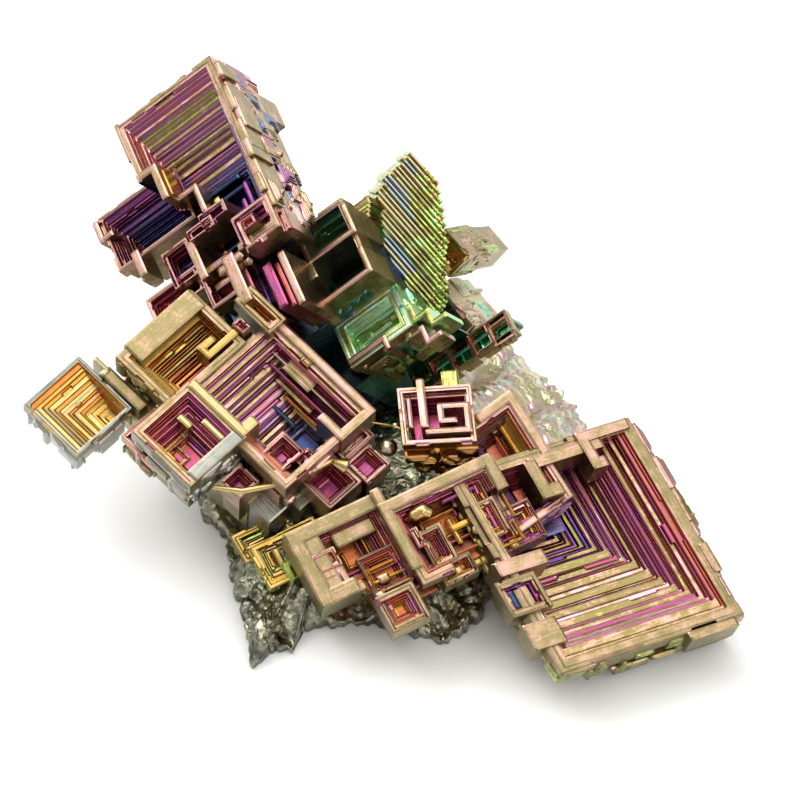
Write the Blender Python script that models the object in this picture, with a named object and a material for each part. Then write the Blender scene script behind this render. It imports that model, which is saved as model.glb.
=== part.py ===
# A cluster of bismuth hopper crystals, grown together on the rough skin of the melt they came from.
# Lengths are in millimetres until the last step, which writes metres. The crystals are laid out on a
# slanting working plane: u runs across it, v runs up it and w stands out of it. The plane leans back
# from the table, and the skin at the bottom is cut off flat where it rests.

import math

import bmesh
import bpy
from mathutils import Matrix, Vector

MM = 0.001
LEAN = math.radians(50.0)      # angle between the working plane's normal and the table
PLANE_HEIGHT = 16.0            # height of the working plane's origin above the table
NUDGE = 0.04                   # largest shift that keeps two pieces from sharing a plane
CUT_DEPTH = 30.0               # thickness of the block that cuts the underside flat
CUT_SPAN = 160.0               # width of that block


def to_table(u, v, w):
    # Turns a point of the working plane into table coordinates: x right, y back, z up.
    x = u
    y = v * math.sin(LEAN) - w * math.cos(LEAN)
    z = PLANE_HEIGHT + v * math.cos(LEAN) + w * math.sin(LEAN)
    return Vector((x, y, z))


class Setting:
    # The directions that one group of crystals shares: two edges of the mouth and the way in, which
    # is square to both unless it is given.
    def __init__(self, edge_a, edge_b, inwards=None):
        self.a = Vector(edge_a).normalized()
        self.b = Vector(edge_b).normalized()
        self.c = Vector(inwards).normalized() if inwards else self.a.cross(self.b).normalized()
        if self.c.z > 0.0:
            self.c = -self.c


# The crystals fall into a few groups that grew in the same direction.
TOWER = Setting((-0.769, -0.550, -0.316), (0.353, -0.784, 0.507))
MIDDLE = Setting((0.709, -0.674, 0.213), (-0.720, -0.644, 0.254))
RIGHT = Setting((0.492, -0.845, 0.210), (-0.925, -0.290, 0.250))
FRONT = Setting((0.480, -0.870, 0.150), (-0.900, -0.420, 0.120))
ELBOW = Setting((0.530, -0.840, 0.180), (-0.815, -0.575, 0.100))
SPIRAL = Setting((0.990, 0.060, 0.080), (0.090, -0.840, 0.530))
FAN = Setting((0.640, -0.740, 0.200), (-0.600, -0.620, -0.300))
# The fan's plates run back in a slanting stack, under the edges in front of them.
PLATES = Setting((0.640, -0.740, 0.200), (-0.600, -0.620, -0.300), (-0.120, 0.060, -1.000))


class Face:
    # The plane of one crystal's mouth, through a corner given in working plane coordinates.
    def __init__(self, setting, corner):
        self.setting = setting
        self.corner = Vector(corner)

    def sides(self, u, v):
        # Distances along both edges at which this plane lies over the working point (u, v).
        a, b = self.setting.a, self.setting.b
        du = u - self.corner.x
        dv = v - self.corner.y
        det = a.x * b.y - a.y * b.x
        return ((du * b.y - dv * b.x) / det, (a.x * dv - a.y * du) / det)

    def point(self, a, b, c):
        s = self.setting
        p = self.corner + s.a * a + s.b * b + s.c * c
        return to_table(p.x, p.y, p.z)


def solid_from(bm):
    bmesh.ops.recalc_face_normals(bm, faces=bm.faces)
    mesh = bpy.data.meshes.new("piece")
    bmesh.ops.scale(bm, vec=(MM, MM, MM), verts=bm.verts)
    bm.to_mesh(mesh)
    bm.free()
    piece = bpy.data.objects.new("piece", mesh)
    bpy.context.collection.objects.link(piece)
    return piece


def lofted(face, rings):
    # A closed solid through a list of rectangles, each (a0, a1, b0, b1, depth), capped at both ends.
    bm = bmesh.new()
    loops = []
    for a0, a1, b0, b1, c in rings:
        corners = ((a0, b0), (a1, b0), (a1, b1), (a0, b1))
        loops.append([bm.verts.new(face.point(a, b, c)) for a, b in corners])
    for lower, upper in zip(loops, loops[1:]):
        for i in range(4):
            j = (i + 1) % 4
            bm.faces.new((lower[i], lower[j], upper[j], upper[i]))
    bm.faces.new(loops[0])
    bm.faces.new(loops[-1])
    return solid_from(bm)


def between(first, last, share):
    return tuple(p + (q - p) * share for p, q in zip(first, last))


def stairs(first, last, top, bottom, count):
    # Rings of a flight of steps whose risers stand on rectangles from first to last.
    rings = []
    for step in range(count):
        ledge = between(first, last, step / max(count - 1, 1))
        for edge in (step, step + 1):
            rings.append(ledge + (top + (bottom - top) * edge / count,))
    return rings


def hopper(face, far, pit, body, rim=0.8, lift=0.0):
    # A hollow crystal. Its mouth spans from the face's corner to the point far (u, v). The pit is
    # (depth, steps, runs of the four walls) and the body is (depth, steps, tapers of the four sides),
    # each set of four in the order a start, a end, b start, b end. lift raises the mouth.
    length, width = face.sides(*far)
    pit_depth, pit_steps, runs = pit
    body_depth, body_steps, tapers = body
    outer = (0.0, length, 0.0, width)
    mouth = (rim, length - rim, rim, width - rim)
    floor = (rim + runs[0], length - rim - runs[1], rim + runs[2], width - rim - runs[3])
    back = (tapers[0], length - tapers[1], tapers[2], width - tapers[3])
    inside = stairs(mouth, floor, -lift, pit_depth, pit_steps)
    outside = stairs(outer, back, -lift, body_depth, body_steps)
    return lofted(face, inside[::-1] + outside)


def block(face, far, top, depth):
    # A plain block of crystal from the face's corner to the point far, from top down to depth.
    length, width = face.sides(*far)
    return lofted(face, [(0.0, length, 0.0, width, -top), (0.0, length, 0.0, width, depth)])


def squared(face, points):
    # Follows points (u, v) on a face, but turns every leg onto the nearer edge direction.
    path = [Vector(face.sides(*points[0]))]
    for u, v in points[1:]:
        step = Vector(face.sides(u, v)) - path[-1]
        if abs(step.x) > abs(step.y):
            step.y = 0.0
        else:
            step.x = 0.0
        path.append(path[-1] + step)
    return path


def bar(face, points, width, top, depth):
    # A square-cornered bar along points (u, v), from top above the face down to depth.
    path = squared(face, points)
    legs = [(q - p).normalized() for p, q in zip(path, path[1:])]
    sides = [Vector((-leg.y, leg.x)) for leg in legs]
    half = width / 2.0
    bm = bmesh.new()
    sections = []
    for i, spot in enumerate(path):
        if i == 0:
            spread = sides[0]
        elif i == len(path) - 1:
            spread = sides[-1]
        else:
            spread = sides[i - 1] + sides[i]
        left = spot + spread * half
        right = spot - spread * half
        ring = ((left, -top), (right, -top), (right, depth), (left, depth))
        sections.append([bm.verts.new(face.point(p.x, p.y, c)) for p, c in ring])
    for near, far in zip(sections, sections[1:]):
        for i in range(4):
            j = (i + 1) % 4
            bm.faces.new((near[i], near[j], far[j], far[i]))
    bm.faces.new(sections[0])
    bm.faces.new(sections[-1])
    return solid_from(bm)


def carved(piece, face, spans, top, depth):
    # Takes square bites out of a crystal, each (a0, a1, b0, b1), from top above the face to depth.
    for a0, a1, b0, b1 in spans:
        combine(piece, lofted(face, [(a0, a1, b0, b1, -top), (a0, a1, b0, b1, depth)]), "DIFFERENCE")
    return piece


def beside(face, u, v, rise):
    # A face parallel to another one, through (u, v), standing rise nearer along w.
    a, b = face.sides(u, v)
    spot = face.corner + face.setting.a * a + face.setting.b * b
    return Face(face.setting, (u, v, spot.z + rise))


def small(face, near, far, rise, pit_depth, runs, steps=3, rim=0.5, depth=4.0):
    # A small hopper that stands on a bigger crystal's face.
    spot = beside(face, near[0], near[1], rise)
    return hopper(spot, far, (pit_depth, steps, runs), (depth, 2, (0.3, 0.3, 0.3, 0.3)), rim)


def tower_hopper():
    # The tall hopper at the upper left, with jogged bars and small frames round its lower end. Its
    # lower left never closed: the bites step in from the left edge down to the small frames.
    face = Face(TOWER, (-19.3, 34.8, -6.0))
    pit = (6.0, 7, (2.8, 2.8, 9.0, 2.4))
    body = (8.5, 3, (0.7, 3.0, 0.4, 1.2))
    bites = ((10.9, 14.0, 7.6, 23.0), (8.1, 11.0, 11.6, 23.0), (5.7, 8.2, 16.9, 23.0))
    upper = beside(face, -19.9, 34.1, 0.0)
    return [
        carved(hopper(face, (-21.5, 10.9), pit, body, rim=0.9), face, bites, 2.0, 7.7),
        block(upper, (-26.6, 19.6), -7.2, 11.0),
        block(upper, (-27.6, 25.4), -7.6, 13.6),
        bar(face, ((-17.6, 31.6), (-15.2, 26.6)), 1.5, 0.35, 3.0),
        bar(face, ((-14.9, 24.4), (-12.6, 19.2)), 1.7, 0.5, 3.5),
        bar(face, ((-26.1, 22.4), (-24.8, 23.4), (-23.4, 20.2)), 0.8, 0.4, 3.0),
        small(face, (-13.4, 20.6), (-15.5, 14.8), 0.9, 2.4, (0.4, 0.4, 0.8, 0.3), rim=0.6, depth=5.0),
        small(face, (-11.6, 19.2), (-11.5, 16.6), 0.3, 1.0, (0.2, 0.2, 0.2, 0.2), steps=2, depth=5.0),
        small(face, (-14.7, 18.7), (-15.6, 16.8), 1.4, 0.6, (0.1, 0.1, 0.1, 0.1), steps=2, rim=0.35),
        small(face, (-17.8, 20.2), (-19.8, 17.2), 0.8, 1.5, (0.3, 0.3, 0.4, 0.2), rim=0.45, depth=9.4),
        small(face, (-19.0, 18.6), (-21.0, 15.8), 0.7, 1.4, (0.3, 0.3, 0.4, 0.2), rim=0.45, depth=9.2),
    ]


def left_hopper():
    # The second hopper, tucked behind the tower's lower left edge.
    face = Face(TOWER, (-23.0, 24.0, -8.5))
    pit = (4.5, 5, (1.0, 1.6, 3.4, 0.8))
    body = (9.0, 3, (1.0, 1.6, 1.0, 1.0))
    return [
        hopper(face, (-28.4, 12.9), pit, body, rim=0.5),
        bar(face, ((-31.0, 18.0), (-30.2, 16.2), (-29.0, 16.9)), 0.6, 0.3, 2.0),
    ]


def stair_frames():
    # Small frames, posts and boxes below the tower.
    face = Face(TOWER, (-21.5, 16.4, -2.5))
    post = Face(TOWER, (-17.4, 14.6, 0.5))
    return [
        hopper(face, (-22.5, 11.0), (2.6, 3, (0.3, 0.3, 0.6, 0.3)), (8.0, 3, (0.5, 0.5, 0.5, 0.5)), rim=0.55),
        bar(face, ((-20.7, 15.6), (-19.8, 11.4)), 0.9, 0.9, 6.0),
        hopper(
            Face(TOWER, (-20.6, 13.6, -2.0)), (-24.6, 7.6),
            (3.0, 4, (0.5, 0.5, 1.4, 0.5)), (9.0, 3, (0.6, 0.6, 0.6, 0.6)), rim=0.5,
        ),
        bar(post, ((-17.2, 14.4), (-15.4, 9.4)), 1.4, 0.4, 7.0),
        bar(post, ((-19.4, 12.9), (-17.2, 14.3)), 0.7, 0.0, 7.0),
        bar(post, ((-18.7, 11.3), (-16.6, 12.8)), 0.7, -0.4, 7.0),
        block(Face(TOWER, (-13.6, 14.2, -2.0)), (-16.5, 7.0), 0.0, 8.0),
    ]


def teal_frame():
    # The open frame in the middle of the upper half, with a square-cornered bar wound into it.
    face = Face(TOWER, (-6.0, 20.3, -0.5))
    pit = (5.5, 5, (0.8, 1.0, 1.8, 1.0))
    body = (9.0, 3, (0.8, 0.8, 0.8, 0.8))
    return [
        hopper(face, (-9.0, 8.2), pit, body, rim=0.6),
        bar(beside(face, -14.0, 14.0, 2.5), ((-14.3, 14.2), (-11.2, 8.0)), 1.0, 0.0, 6.0),
        bar(face, ((-12.2, 15.4), (-9.0, 8.2)), 1.0, 0.4, 5.0),
        bar(face, ((-10.2, 16.8), (-8.6, 13.9), (-4.6, 17.2), (-5.8, 19.4)), 0.6, 0.5, 5.0),
        bar(face, ((-9.0, 8.4), (-2.9, 13.1), (-4.0, 15.0)), 0.6, 0.6, 4.0),
        block(Face(TOWER, (-10.0, 14.0, -4.0)), (-15.0, 2.0), 0.0, 8.0),
        block(Face(TOWER, (-4.0, 10.0, -5.5)), (-12.0, -2.0), 0.0, 9.0),
    ]


def green_hopper():
    # The green hopper with a thick pale edge, and the row of dark little crystals beside it.
    face = Face(TOWER, (-0.8, 11.9, 1.0))
    row = Face(TOWER, (10.6, 8.6, -3.0))
    pieces = [
        hopper(face, (-4.9, 3.1), (3.4, 5, (0.3, 0.3, 2.4, 0.5)), (8.0, 4, (0.8, 0.8, 0.8, 1.4)), rim=0.7),
        bar(face, ((-5.0, 3.6), (-1.6, 6.4), (-1.0, 5.0)), 0.6, 0.5, 3.0),
        bar(face, ((-1.4, 8.2), (0.4, 9.6), (1.0, 8.2), (2.2, 9.2), (2.8, 7.8), (4.2, 8.8)), 0.6, -0.6, 4.0),
        bar(face, ((-0.2, 6.4), (1.4, 7.6), (2.0, 6.2), (3.4, 7.2)), 0.6, -1.2, 4.0),
        block(Face(TOWER, (4.6, 7.8, -1.0)), (-4.6, 1.4), 0.0, 8.0),
    ]
    for place in range(5):
        u = 10.4 - 1.9 * place
        v = 9.2 - 1.35 * place
        pieces.append(small(row, (u, v), (u - 1.0, v - 3.4), 0.4 * (place % 2), 1.0,
                            (0.2, 0.2, 0.3, 0.2), steps=2, rim=0.35, depth=2.6))
    pieces.append(block(row, (2.6, 2.4), -0.4, 3.4))
    return pieces


def along_edge(face, points, b):
    # Where an edge line through points (u, v) lies, as a distance along edge a, at the distance b.
    spots = sorted((face.sides(u, v) for u, v in points), key=lambda spot: spot[1])
    for (a0, b0), (a1, b1) in zip(spots, spots[1:]):
        if b <= b1:
            return a0 + (a1 - a0) * (b - b0) / (b1 - b0)
    return spots[-1][0]


def fan_plates():
    # A stack of thin plates seen edge on, narrow at the top and stepping out towards the bottom.
    plates = 8
    left = ((1.0, 25.1), (-3.3, 19.5), (-3.4, 12.9))
    right = ((3.2, 23.2), (4.3, 20.0), (4.7, 13.0), (4.5, 9.5), (2.0, 8.0), (-1.0, 9.6))
    face = Face(PLATES, (1.0, 25.1, -5.0))
    reach = face.sides(*left[-1])[1]
    pieces = []
    for index in range(plates):
        start = reach * index / plates
        end = reach * (index + 1) / plates
        middle = (start + end) / 2.0
        near = along_edge(face, left, middle)
        far = along_edge(face, right, middle)
        depth = 4.0 + 5.0 * index / plates
        pieces.append(lofted(face, [
            (near, far, start - 0.3, end, -0.35 * index),
            (near, far, start - 0.3, end, depth),
        ]))
    return pieces


def middle_hoppers():
    # The big central hopper and the box, square and hook that share its direction.
    centre = Face(MIDDLE, (-12.8, 8.2, 3.0))
    box = Face(MIDDLE, (-20.7, 11.0, 3.0))
    return [
        hopper(centre, (-11.3, -8.9), (7.0, 8, (7.8, 1.6, 2.6, 2.6)), (11.0, 4, (1.5, 1.5, 1.5, 1.5)), rim=0.9),
        bar(centre, ((-12.6, 8.0), (-2.9, -1.0), (-5.8, -3.6), (-7.9, -1.6)), 0.9, 0.5, 4.0),
        bar(centre, ((-10.8, 4.4), (-8.0, 2.2)), 2.4, -1.2, 4.0),
        hopper(box, (-22.7, -0.9), (5.0, 6, (4.2, 0.6, 0.8, 2.2)), (10.0, 3, (1.4, 1.0, 1.0, 1.0)), rim=0.9),
        bar(box, ((-20.2, 10.2), (-26.2, 4.2)), 2.4, 0.3, 8.0),
        bar(box, ((-16.2, 6.8), (-18.6, 4.0), (-19.7, 5.0), (-18.6, 6.2)), 0.7, 0.5, 3.0),
        small(centre, (-14.8, 11.5), (-13.0, 6.6), 1.6, 2.4, (0.4, 0.4, 0.5, 0.4), steps=4, rim=0.6, depth=6.0),
        small(centre, (-15.9, 8.3), (-15.6, 6.6), 1.8, 1.0, (0.2, 0.2, 0.2, 0.2), steps=2, rim=0.4, depth=8.0),
        block(Face(MIDDLE, (-14.8, 8.2, -3.6)), (-13.0, -12.0), 0.0, 11.0),
    ]


def left_tip():
    # The small crystal that points out at the far left.
    face = Face(MIDDLE, (-32.0, 4.4, 2.5))
    return [
        hopper(face, (-32.0, -5.6), (3.4, 6, (4.4, 0.5, 0.5, 4.4)), (6.5, 3, (0.9, 0.9, 0.9, 0.9)), rim=0.5),
        bar(face, ((-30.6, 0.2), (-29.2, -1.6), (-31.4, -4.2)), 0.8, 0.3, 3.0),
        bar(face, ((-29.4, 2.9), (-27.0, 2.8), (-26.0, 1.2), (-24.4, 0.2)), 1.2, 0.3, 6.0),
        block(Face(MIDDLE, (-26.2, 3.4, 0.5)), (-24.0, -4.0), 0.0, 6.0),
    ]


def lower_left_hopper():
    # The hopper with the long pale ridge at the lower left, and the small frames in its lee.
    face = Face(MIDDLE, (-20.9, 2.0, 6.5))
    small_runs = (0.3, 0.3, 0.4, 0.3)
    return [
        hopper(face, (-20.7, -8.6), (4.6, 6, (2.2, 1.0, 2.4, 1.0)), (11.0, 4, (1.0, 1.2, 0.8, 1.0)), rim=0.9),
        bar(face, ((-20.6, 1.6), (-15.6, -3.2), (-13.4, -2.8)), 1.0, 0.5, 4.0),
        small(face, (-24.4, -0.6), (-24.4, -6.6), -1.6, 2.2, small_runs, depth=7.0),
        small(face, (-15.9, -6.2), (-15.9, -9.9), -2.4, 1.8, small_runs, depth=8.0),
        small(face, (-12.0, -6.4), (-12.0, -9.7), -2.8, 1.8, small_runs, depth=6.0),
        small(face, (-11.6, -3.0), (-12.2, -7.6), -1.6, 2.2, small_runs, depth=7.0),
        small(face, (-6.9, -5.0), (-6.9, -10.8), -2.6, 2.6, (0.4, 0.4, 0.6, 0.4), rim=0.6, depth=7.0),
        small(face, (-4.6, -1.4), (-5.4, -6.1), -2.2, 2.0, small_runs, rim=0.6, depth=7.0),
        small(face, (-3.2, -4.2), (-3.2, -8.4), -3.4, 1.4, small_runs, steps=2, depth=6.0),
        bar(beside(face, -18.0, -8.0, -3.6), ((-18.0, -8.0), (-10.0, -7.6), (-5.8, -5.6)), 0.5, 0.0, 4.0),
        block(Face(MIDDLE, (-14.4, -2.4, -0.6)), (-15.2, -10.4), 0.0, 10.0),
        block(Face(MIDDLE, (-9.0, -1.0, -1.6)), (-10.0, -11.0), 0.0, 10.0),
    ]


def spiral_crystal():
    # The pale crystal whose edge winds in as a square spiral.
    face = Face(SPIRAL, (-0.4, 1.2, 4.5))
    inner = ((2.6, -3.3), (6.9, -3.3), (6.9, -0.6), (4.0, -0.6), (4.0, -2.2), (5.7, -2.2))
    return [
        hopper(face, (7.6, -4.0), (3.2, 4, (0.6, 0.6, 0.8, 0.5)), (8.0, 4, (0.8, 0.8, 0.8, 1.6)), rim=0.6),
        bar(face, inner, 0.5, 0.5, 3.4),
        bar(face, ((2.0, 1.8), (2.0, -3.0)), 0.8, 0.7, 4.0),
        block(Face(SPIRAL, (4.0, 3.0, 3.0)), (6.0, 0.6), 0.0, 6.0),
    ]


def elbow_frame():
    # The frame between the spiral and the right hopper.
    face = Face(ELBOW, (11.0, 0.4, 3.0))
    return [
        hopper(face, (11.5, -13.5), (5.5, 5, (1.2, 0.8, 1.0, 1.0)), (10.0, 3, (1.0, 1.0, 1.0, 1.0)), rim=0.8),
        bar(face, ((7.6, -2.0), (11.0, 0.2), (14.6, -5.4)), 1.0, 0.5, 4.0),
    ]


def front_frames():
    # The big frame at the front, the slab frame left of it and the small hopper below them. Both are
    # open on the right and below, where their edges stopped growing.
    big = Face(FRONT, (8.8, -5.7, 7.0))
    slab = Face(FRONT, (-1.8, -9.5, 6.0))
    big_body = (12.0, 4, (1.2, 1.2, 1.2, 1.2))
    big_bites = ((3.0, 10.0, -1.0, 1.6), (7.4, 10.0, -1.0, 8.2))
    slab_body = (10.0, 3, (1.0, 1.0, 1.0, 1.0))
    slab_bites = ((2.8, 9.0, -1.0, 1.2), (6.5, 9.0, -1.0, 5.6))
    return [
        carved(hopper(big, (2.3, -18.3), (5.5, 6, (1.2, 1.8, 2.4, 1.6)), big_body, rim=1.0),
               big, big_bites, 2.0, 3.6),
        bar(big, ((10.2, -8.8), (8.8, -5.9), (-1.4, -10.9), (1.8, -16.6)), 1.2, 0.6, 4.0),
        bar(big, ((-2.6, -8.8), (-0.4, -9.8)), 1.0, 0.2, 4.0),
        small(big, (3.9, -12.0), (3.5, -16.6), -1.0, 2.6, (0.4, 0.4, 0.6, 0.4), rim=0.6, depth=6.0),
        small(big, (9.2, -9.4), (8.4, -14.2), -1.6, 2.8, (0.3, 0.3, 0.8, 0.4), steps=4, rim=0.6, depth=6.0),
        small(big, (12.6, -9.6), (10.6, -15.2), -2.4, 2.6, (0.4, 0.4, 0.6, 0.4), steps=4, rim=0.5, depth=7.0),
        block(beside(big, 2.4, -10.1, 0.2), (1.4, -11.9), 0.0, 4.0),
        carved(hopper(slab, (-7.0, -20.3), (4.5, 6, (1.6, 1.4, 2.6, 2.4)), slab_body, rim=0.8),
               slab, slab_bites, 2.0, 2.6),
        bar(slab, ((-2.2, -9.9), (-10.6, -13.6), (-7.2, -19.6), (-4.0, -18.4)), 1.6, 0.5, 6.0),
        small(slab, (1.2, -17.8), (-0.6, -23.0), 1.4, 2.4, (0.4, 0.5, 0.6, 0.4), steps=4, rim=0.6, depth=8.0),
        small(slab, (6.8, -14.8), (4.6, -18.4), 0.4, 1.4, (0.3, 0.3, 0.3, 0.3), steps=2, rim=0.6, depth=7.0),
        block(Face(FRONT, (9.0, -7.4, 0.4)), (-1.0, -20.0), 0.0, 12.0),
        block(Face(FRONT, (2.2, -15.6, 2.0)), (-2.0, -21.6), 0.0, 9.0),
    ]


def right_hopper():
    # The big square hopper at the right, its edge broken by hooks and blocks.
    face = Face(RIGHT, (22.8, -1.7, 2.0))
    pit = (9.0, 8, (1.2, 13.0, 7.2, 3.6))
    body = (11.0, 4, (1.6, 2.6, 1.6, 2.6))
    return [
        hopper(face, (15.9, -26.9), pit, body, rim=1.3),
        bar(face, ((12.8, -6.4), (19.6, -3.4)), 1.2, 0.3, 4.0),
        bar(face, ((12.7, -6.2), (14.4, -9.2), (16.0, -8.6)), 1.3, 0.6, 4.0),
        bar(face, ((22.6, -2.4), (18.2, -4.2), (18.9, -6.6), (20.4, -6.0)), 1.1, 0.7, 4.0),
        block(beside(face, 30.4, -14.0, 0.3), (31.2, -17.0), 0.0, 3.0),
        block(beside(face, 33.6, -22.2, 0.2), (28.4, -22.9), 0.0, 4.0),
        block(beside(face, 24.0, -24.0, 0.3), (19.0, -25.8), 0.0, 4.0),
        block(beside(face, 14.0, -14.6, 0.5), (10.0, -17.4), 0.0, 5.0),
        small(face, (13.2, -16.8), (11.2, -21.4), 0.8, 1.2, (0.2, 0.2, 0.3, 0.2), steps=2, rim=0.8, depth=5.0),
        block(beside(face, 15.2, -21.2, 0.4), (13.4, -24.6), 0.0, 4.0),
        block(Face(RIGHT, (17.0, -6.0, -4.0)), (4.0, -17.0), 0.0, 10.0),
    ]


def back_crystal():
    # The stepped tan crystal that shows behind the fan.
    face = Face(FAN, (4.6, 17.4, -8.0))
    return [
        hopper(face, (4.9, 12.4), (2.0, 4, (0.4, 0.4, 0.8, 0.4)), (12.0, 4, (0.3, 0.3, 0.3, 0.3)), rim=0.4),
        block(Face(FAN, (3.6, 12.0, -10.0)), (2.0, 2.0), 0.0, 9.0),
    ]


# Outline of the skin on the table, right and back, going round from the front spike.
SKIN_OUTLINE = (
    (-14.8, -21.8), (-12.3, -19.4), (-11.0, -20.1), (-9.8, -17.0), (-3.5, -16.2), (0.4, -17.5),
    (4.8, -18.8), (8.2, -15.8), (9.2, -11.6), (13.5, -4.5), (19.6, 4.6), (18.6, 9.5), (16.0, 14.0),
    (11.5, 18.8), (9.4, 23.0), (5.4, 26.0), (0.0, 24.5), (-6.0, 21.0), (-12.5, 18.5), (-17.0, 12.0),
    (-19.0, 6.5), (-20.6, 0.6), (-20.2, -2.4), (-17.6, -5.4), (-17.0, -11.0), (-15.6, -16.2),
)
SKIN_CENTRE = (-2.0, 1.0)
SKIN_RINGS = 6
SKIN_EDGE = 1.6                # height of the skin at its rim
SKIN_RISE = 6.5                # how much higher it is in the middle


def skin_height(x, y, share):
    # Height of the skin: a broad mound, with two sets of crossing ripples frozen into it.
    mound = SKIN_EDGE + SKIN_RISE * (1.0 - share ** 1.7)
    ripple = 0.7 * math.sin(0.83 * x + 1.9 * math.sin(0.31 * y)) + 0.5 * math.sin(0.71 * y - 0.57 * x)
    return mound + ripple * (0.4 + 0.6 * share)


def melt_skin():
    # The rough skin of metal that everything grows from, flat underneath.
    bm = bmesh.new()
    cx, cy = SKIN_CENTRE
    rings = []
    for ring in range(1, SKIN_RINGS + 1):
        share = ring / SKIN_RINGS
        loop = []
        for x, y in SKIN_OUTLINE:
            px = cx + (x - cx) * share
            py = cy + (y - cy) * share
            loop.append(bm.verts.new((px, py, skin_height(px, py, share))))
        rings.append(loop)
    under = [bm.verts.new((cx + (x - cx) * 0.97, cy + (y - cy) * 0.97, -1.0)) for x, y in SKIN_OUTLINE]
    middle = bm.verts.new((cx, cy, skin_height(cx, cy, 0.0)))
    rings.append(under)
    count = len(SKIN_OUTLINE)
    for i in range(count):
        j = (i + 1) % count
        bm.faces.new((middle, rings[0][i], rings[0][j]))
        for inner, outer in zip(rings, rings[1:]):
            bm.faces.new((inner[i], outer[i], outer[j], inner[j]))
    bm.faces.new(under)
    return solid_from(bm)


def table_cut():
    # The block below the table that trims everything off flat.
    bm = bmesh.new()
    bmesh.ops.create_cube(bm, size=1.0)
    bmesh.ops.scale(bm, vec=(CUT_SPAN, CUT_SPAN, CUT_DEPTH), verts=bm.verts)
    bmesh.ops.translate(bm, vec=(0.0, 0.0, -CUT_DEPTH / 2.0), verts=bm.verts)
    return solid_from(bm)


def clear_scene():
    for item in list(bpy.data.objects):
        bpy.data.objects.remove(item, do_unlink=True)


def nudge(piece, index):
    # Shifts a piece by its own hair's breadth, so that no two pieces meet in one plane.
    shares = [(index * factor) % 1.0 for factor in (0.618, 0.755, 0.570)]
    shift = Vector(shares) * NUDGE * MM
    piece.data.transform(Matrix.Translation(shift))


def combine(target, tool, operation):
    # Works a Boolean into the target's mesh and removes the tool. The exact solver leaves open edges
    # where so many slanting ledges cross, so this uses the one that keeps the surface closed.
    step = target.modifiers.new("step", "BOOLEAN")
    step.operation = operation
    step.solver = "MANIFOLD"
    step.object = tool
    graph = bpy.context.evaluated_depsgraph_get()
    result = bpy.data.meshes.new_from_object(target.evaluated_get(graph))
    target.modifiers.clear()
    spent = target.data
    target.data = result
    bpy.data.meshes.remove(spent)
    bpy.data.objects.remove(tool, do_unlink=True)


def fill_sealed_pockets(mesh):
    # Removes the shells of air pockets closed in on all sides, which the growing crystals fill.
    bm = bmesh.new()
    bm.from_mesh(mesh)
    waiting = set(bm.faces)
    spare = []
    while waiting:
        shell = [waiting.pop()]
        for face in shell:
            for edge in face.edges:
                for other in edge.link_faces:
                    if other in waiting:
                        waiting.remove(other)
                        shell.append(other)
        # Six times the signed volume, summed over fans of triangles: negative round a pocket.
        volume = 0.0
        for face in shell:
            first, *rest = [vert.co for vert in face.verts]
            for near, far in zip(rest, rest[1:]):
                volume += first.dot(near.cross(far))
        if volume < 0.0:
            spare.extend(shell)
    bmesh.ops.delete(bm, geom=spare, context="FACES")
    bm.to_mesh(mesh)
    bm.free()


def bismuth():
    # Solid bismuth under its thin oxide film, seen from afar as a warm tan metal.
    material = bpy.data.materials.new("bismuth")
    material.use_nodes = True
    shader = material.node_tree.nodes["Principled BSDF"]
    shader.inputs["Base Color"].default_value = (0.42, 0.30, 0.18, 1.0)
    shader.inputs["Metallic"].default_value = 1.0
    shader.inputs["Roughness"].default_value = 0.35
    return material


def build_cluster():
    cluster = melt_skin()
    cluster.name = "bismuth_cluster"
    groups = (
        stair_frames, teal_frame, tower_hopper, left_hopper, green_hopper, fan_plates, back_crystal,
        middle_hoppers, left_tip, lower_left_hopper, spiral_crystal, front_frames, elbow_frame,
        right_hopper,
    )
    pieces = [piece for group in groups for piece in group()]
    for index, piece in enumerate(pieces):
        nudge(piece, index)
        combine(cluster, piece, "UNION")
    combine(cluster, table_cut(), "DIFFERENCE")
    fill_sealed_pockets(cluster.data)
    cluster.data.name = "bismuth_cluster"
    cluster.data.materials.clear()
    cluster.data.materials.append(bismuth())


clear_scene()
build_cluster()
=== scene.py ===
import math

import bmesh
import bpy
import numpy as np
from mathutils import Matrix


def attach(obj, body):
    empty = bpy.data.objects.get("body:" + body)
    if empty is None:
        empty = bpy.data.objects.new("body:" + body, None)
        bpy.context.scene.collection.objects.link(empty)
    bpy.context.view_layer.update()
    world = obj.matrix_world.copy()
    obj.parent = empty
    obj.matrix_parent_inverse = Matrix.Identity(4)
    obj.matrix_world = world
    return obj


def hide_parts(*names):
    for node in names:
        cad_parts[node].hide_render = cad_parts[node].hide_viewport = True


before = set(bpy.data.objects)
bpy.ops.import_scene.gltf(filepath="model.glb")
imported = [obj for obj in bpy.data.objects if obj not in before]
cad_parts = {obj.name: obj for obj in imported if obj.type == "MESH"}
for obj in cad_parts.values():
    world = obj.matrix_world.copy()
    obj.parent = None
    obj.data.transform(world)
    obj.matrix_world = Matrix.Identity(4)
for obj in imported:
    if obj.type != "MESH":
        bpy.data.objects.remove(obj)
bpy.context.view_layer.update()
print("frame loaded")

# Everything is laid out in millimetres on the same slanting plane as the solids: u across, v up
# the plane and w out of it. The plane leans back from the table.
mm = 0.001
lean = math.radians(50.0)  # between the plane's normal and the table
planeHeight = 16.0         # the plane's origin above the table
cluster = "bismuth_cluster"


def toTable(points):
    # Rows of u, v, w turned about the x axis and lifted, in metres: x right, y back, z up
    u, v, w = points[..., 0], points[..., 1], points[..., 2]
    y = v * math.sin(lean) - w * math.cos(lean)
    z = planeHeight + v * math.cos(lean) + w * math.sin(lean)
    return np.stack([u, y, z], axis=-1) * mm


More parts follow.
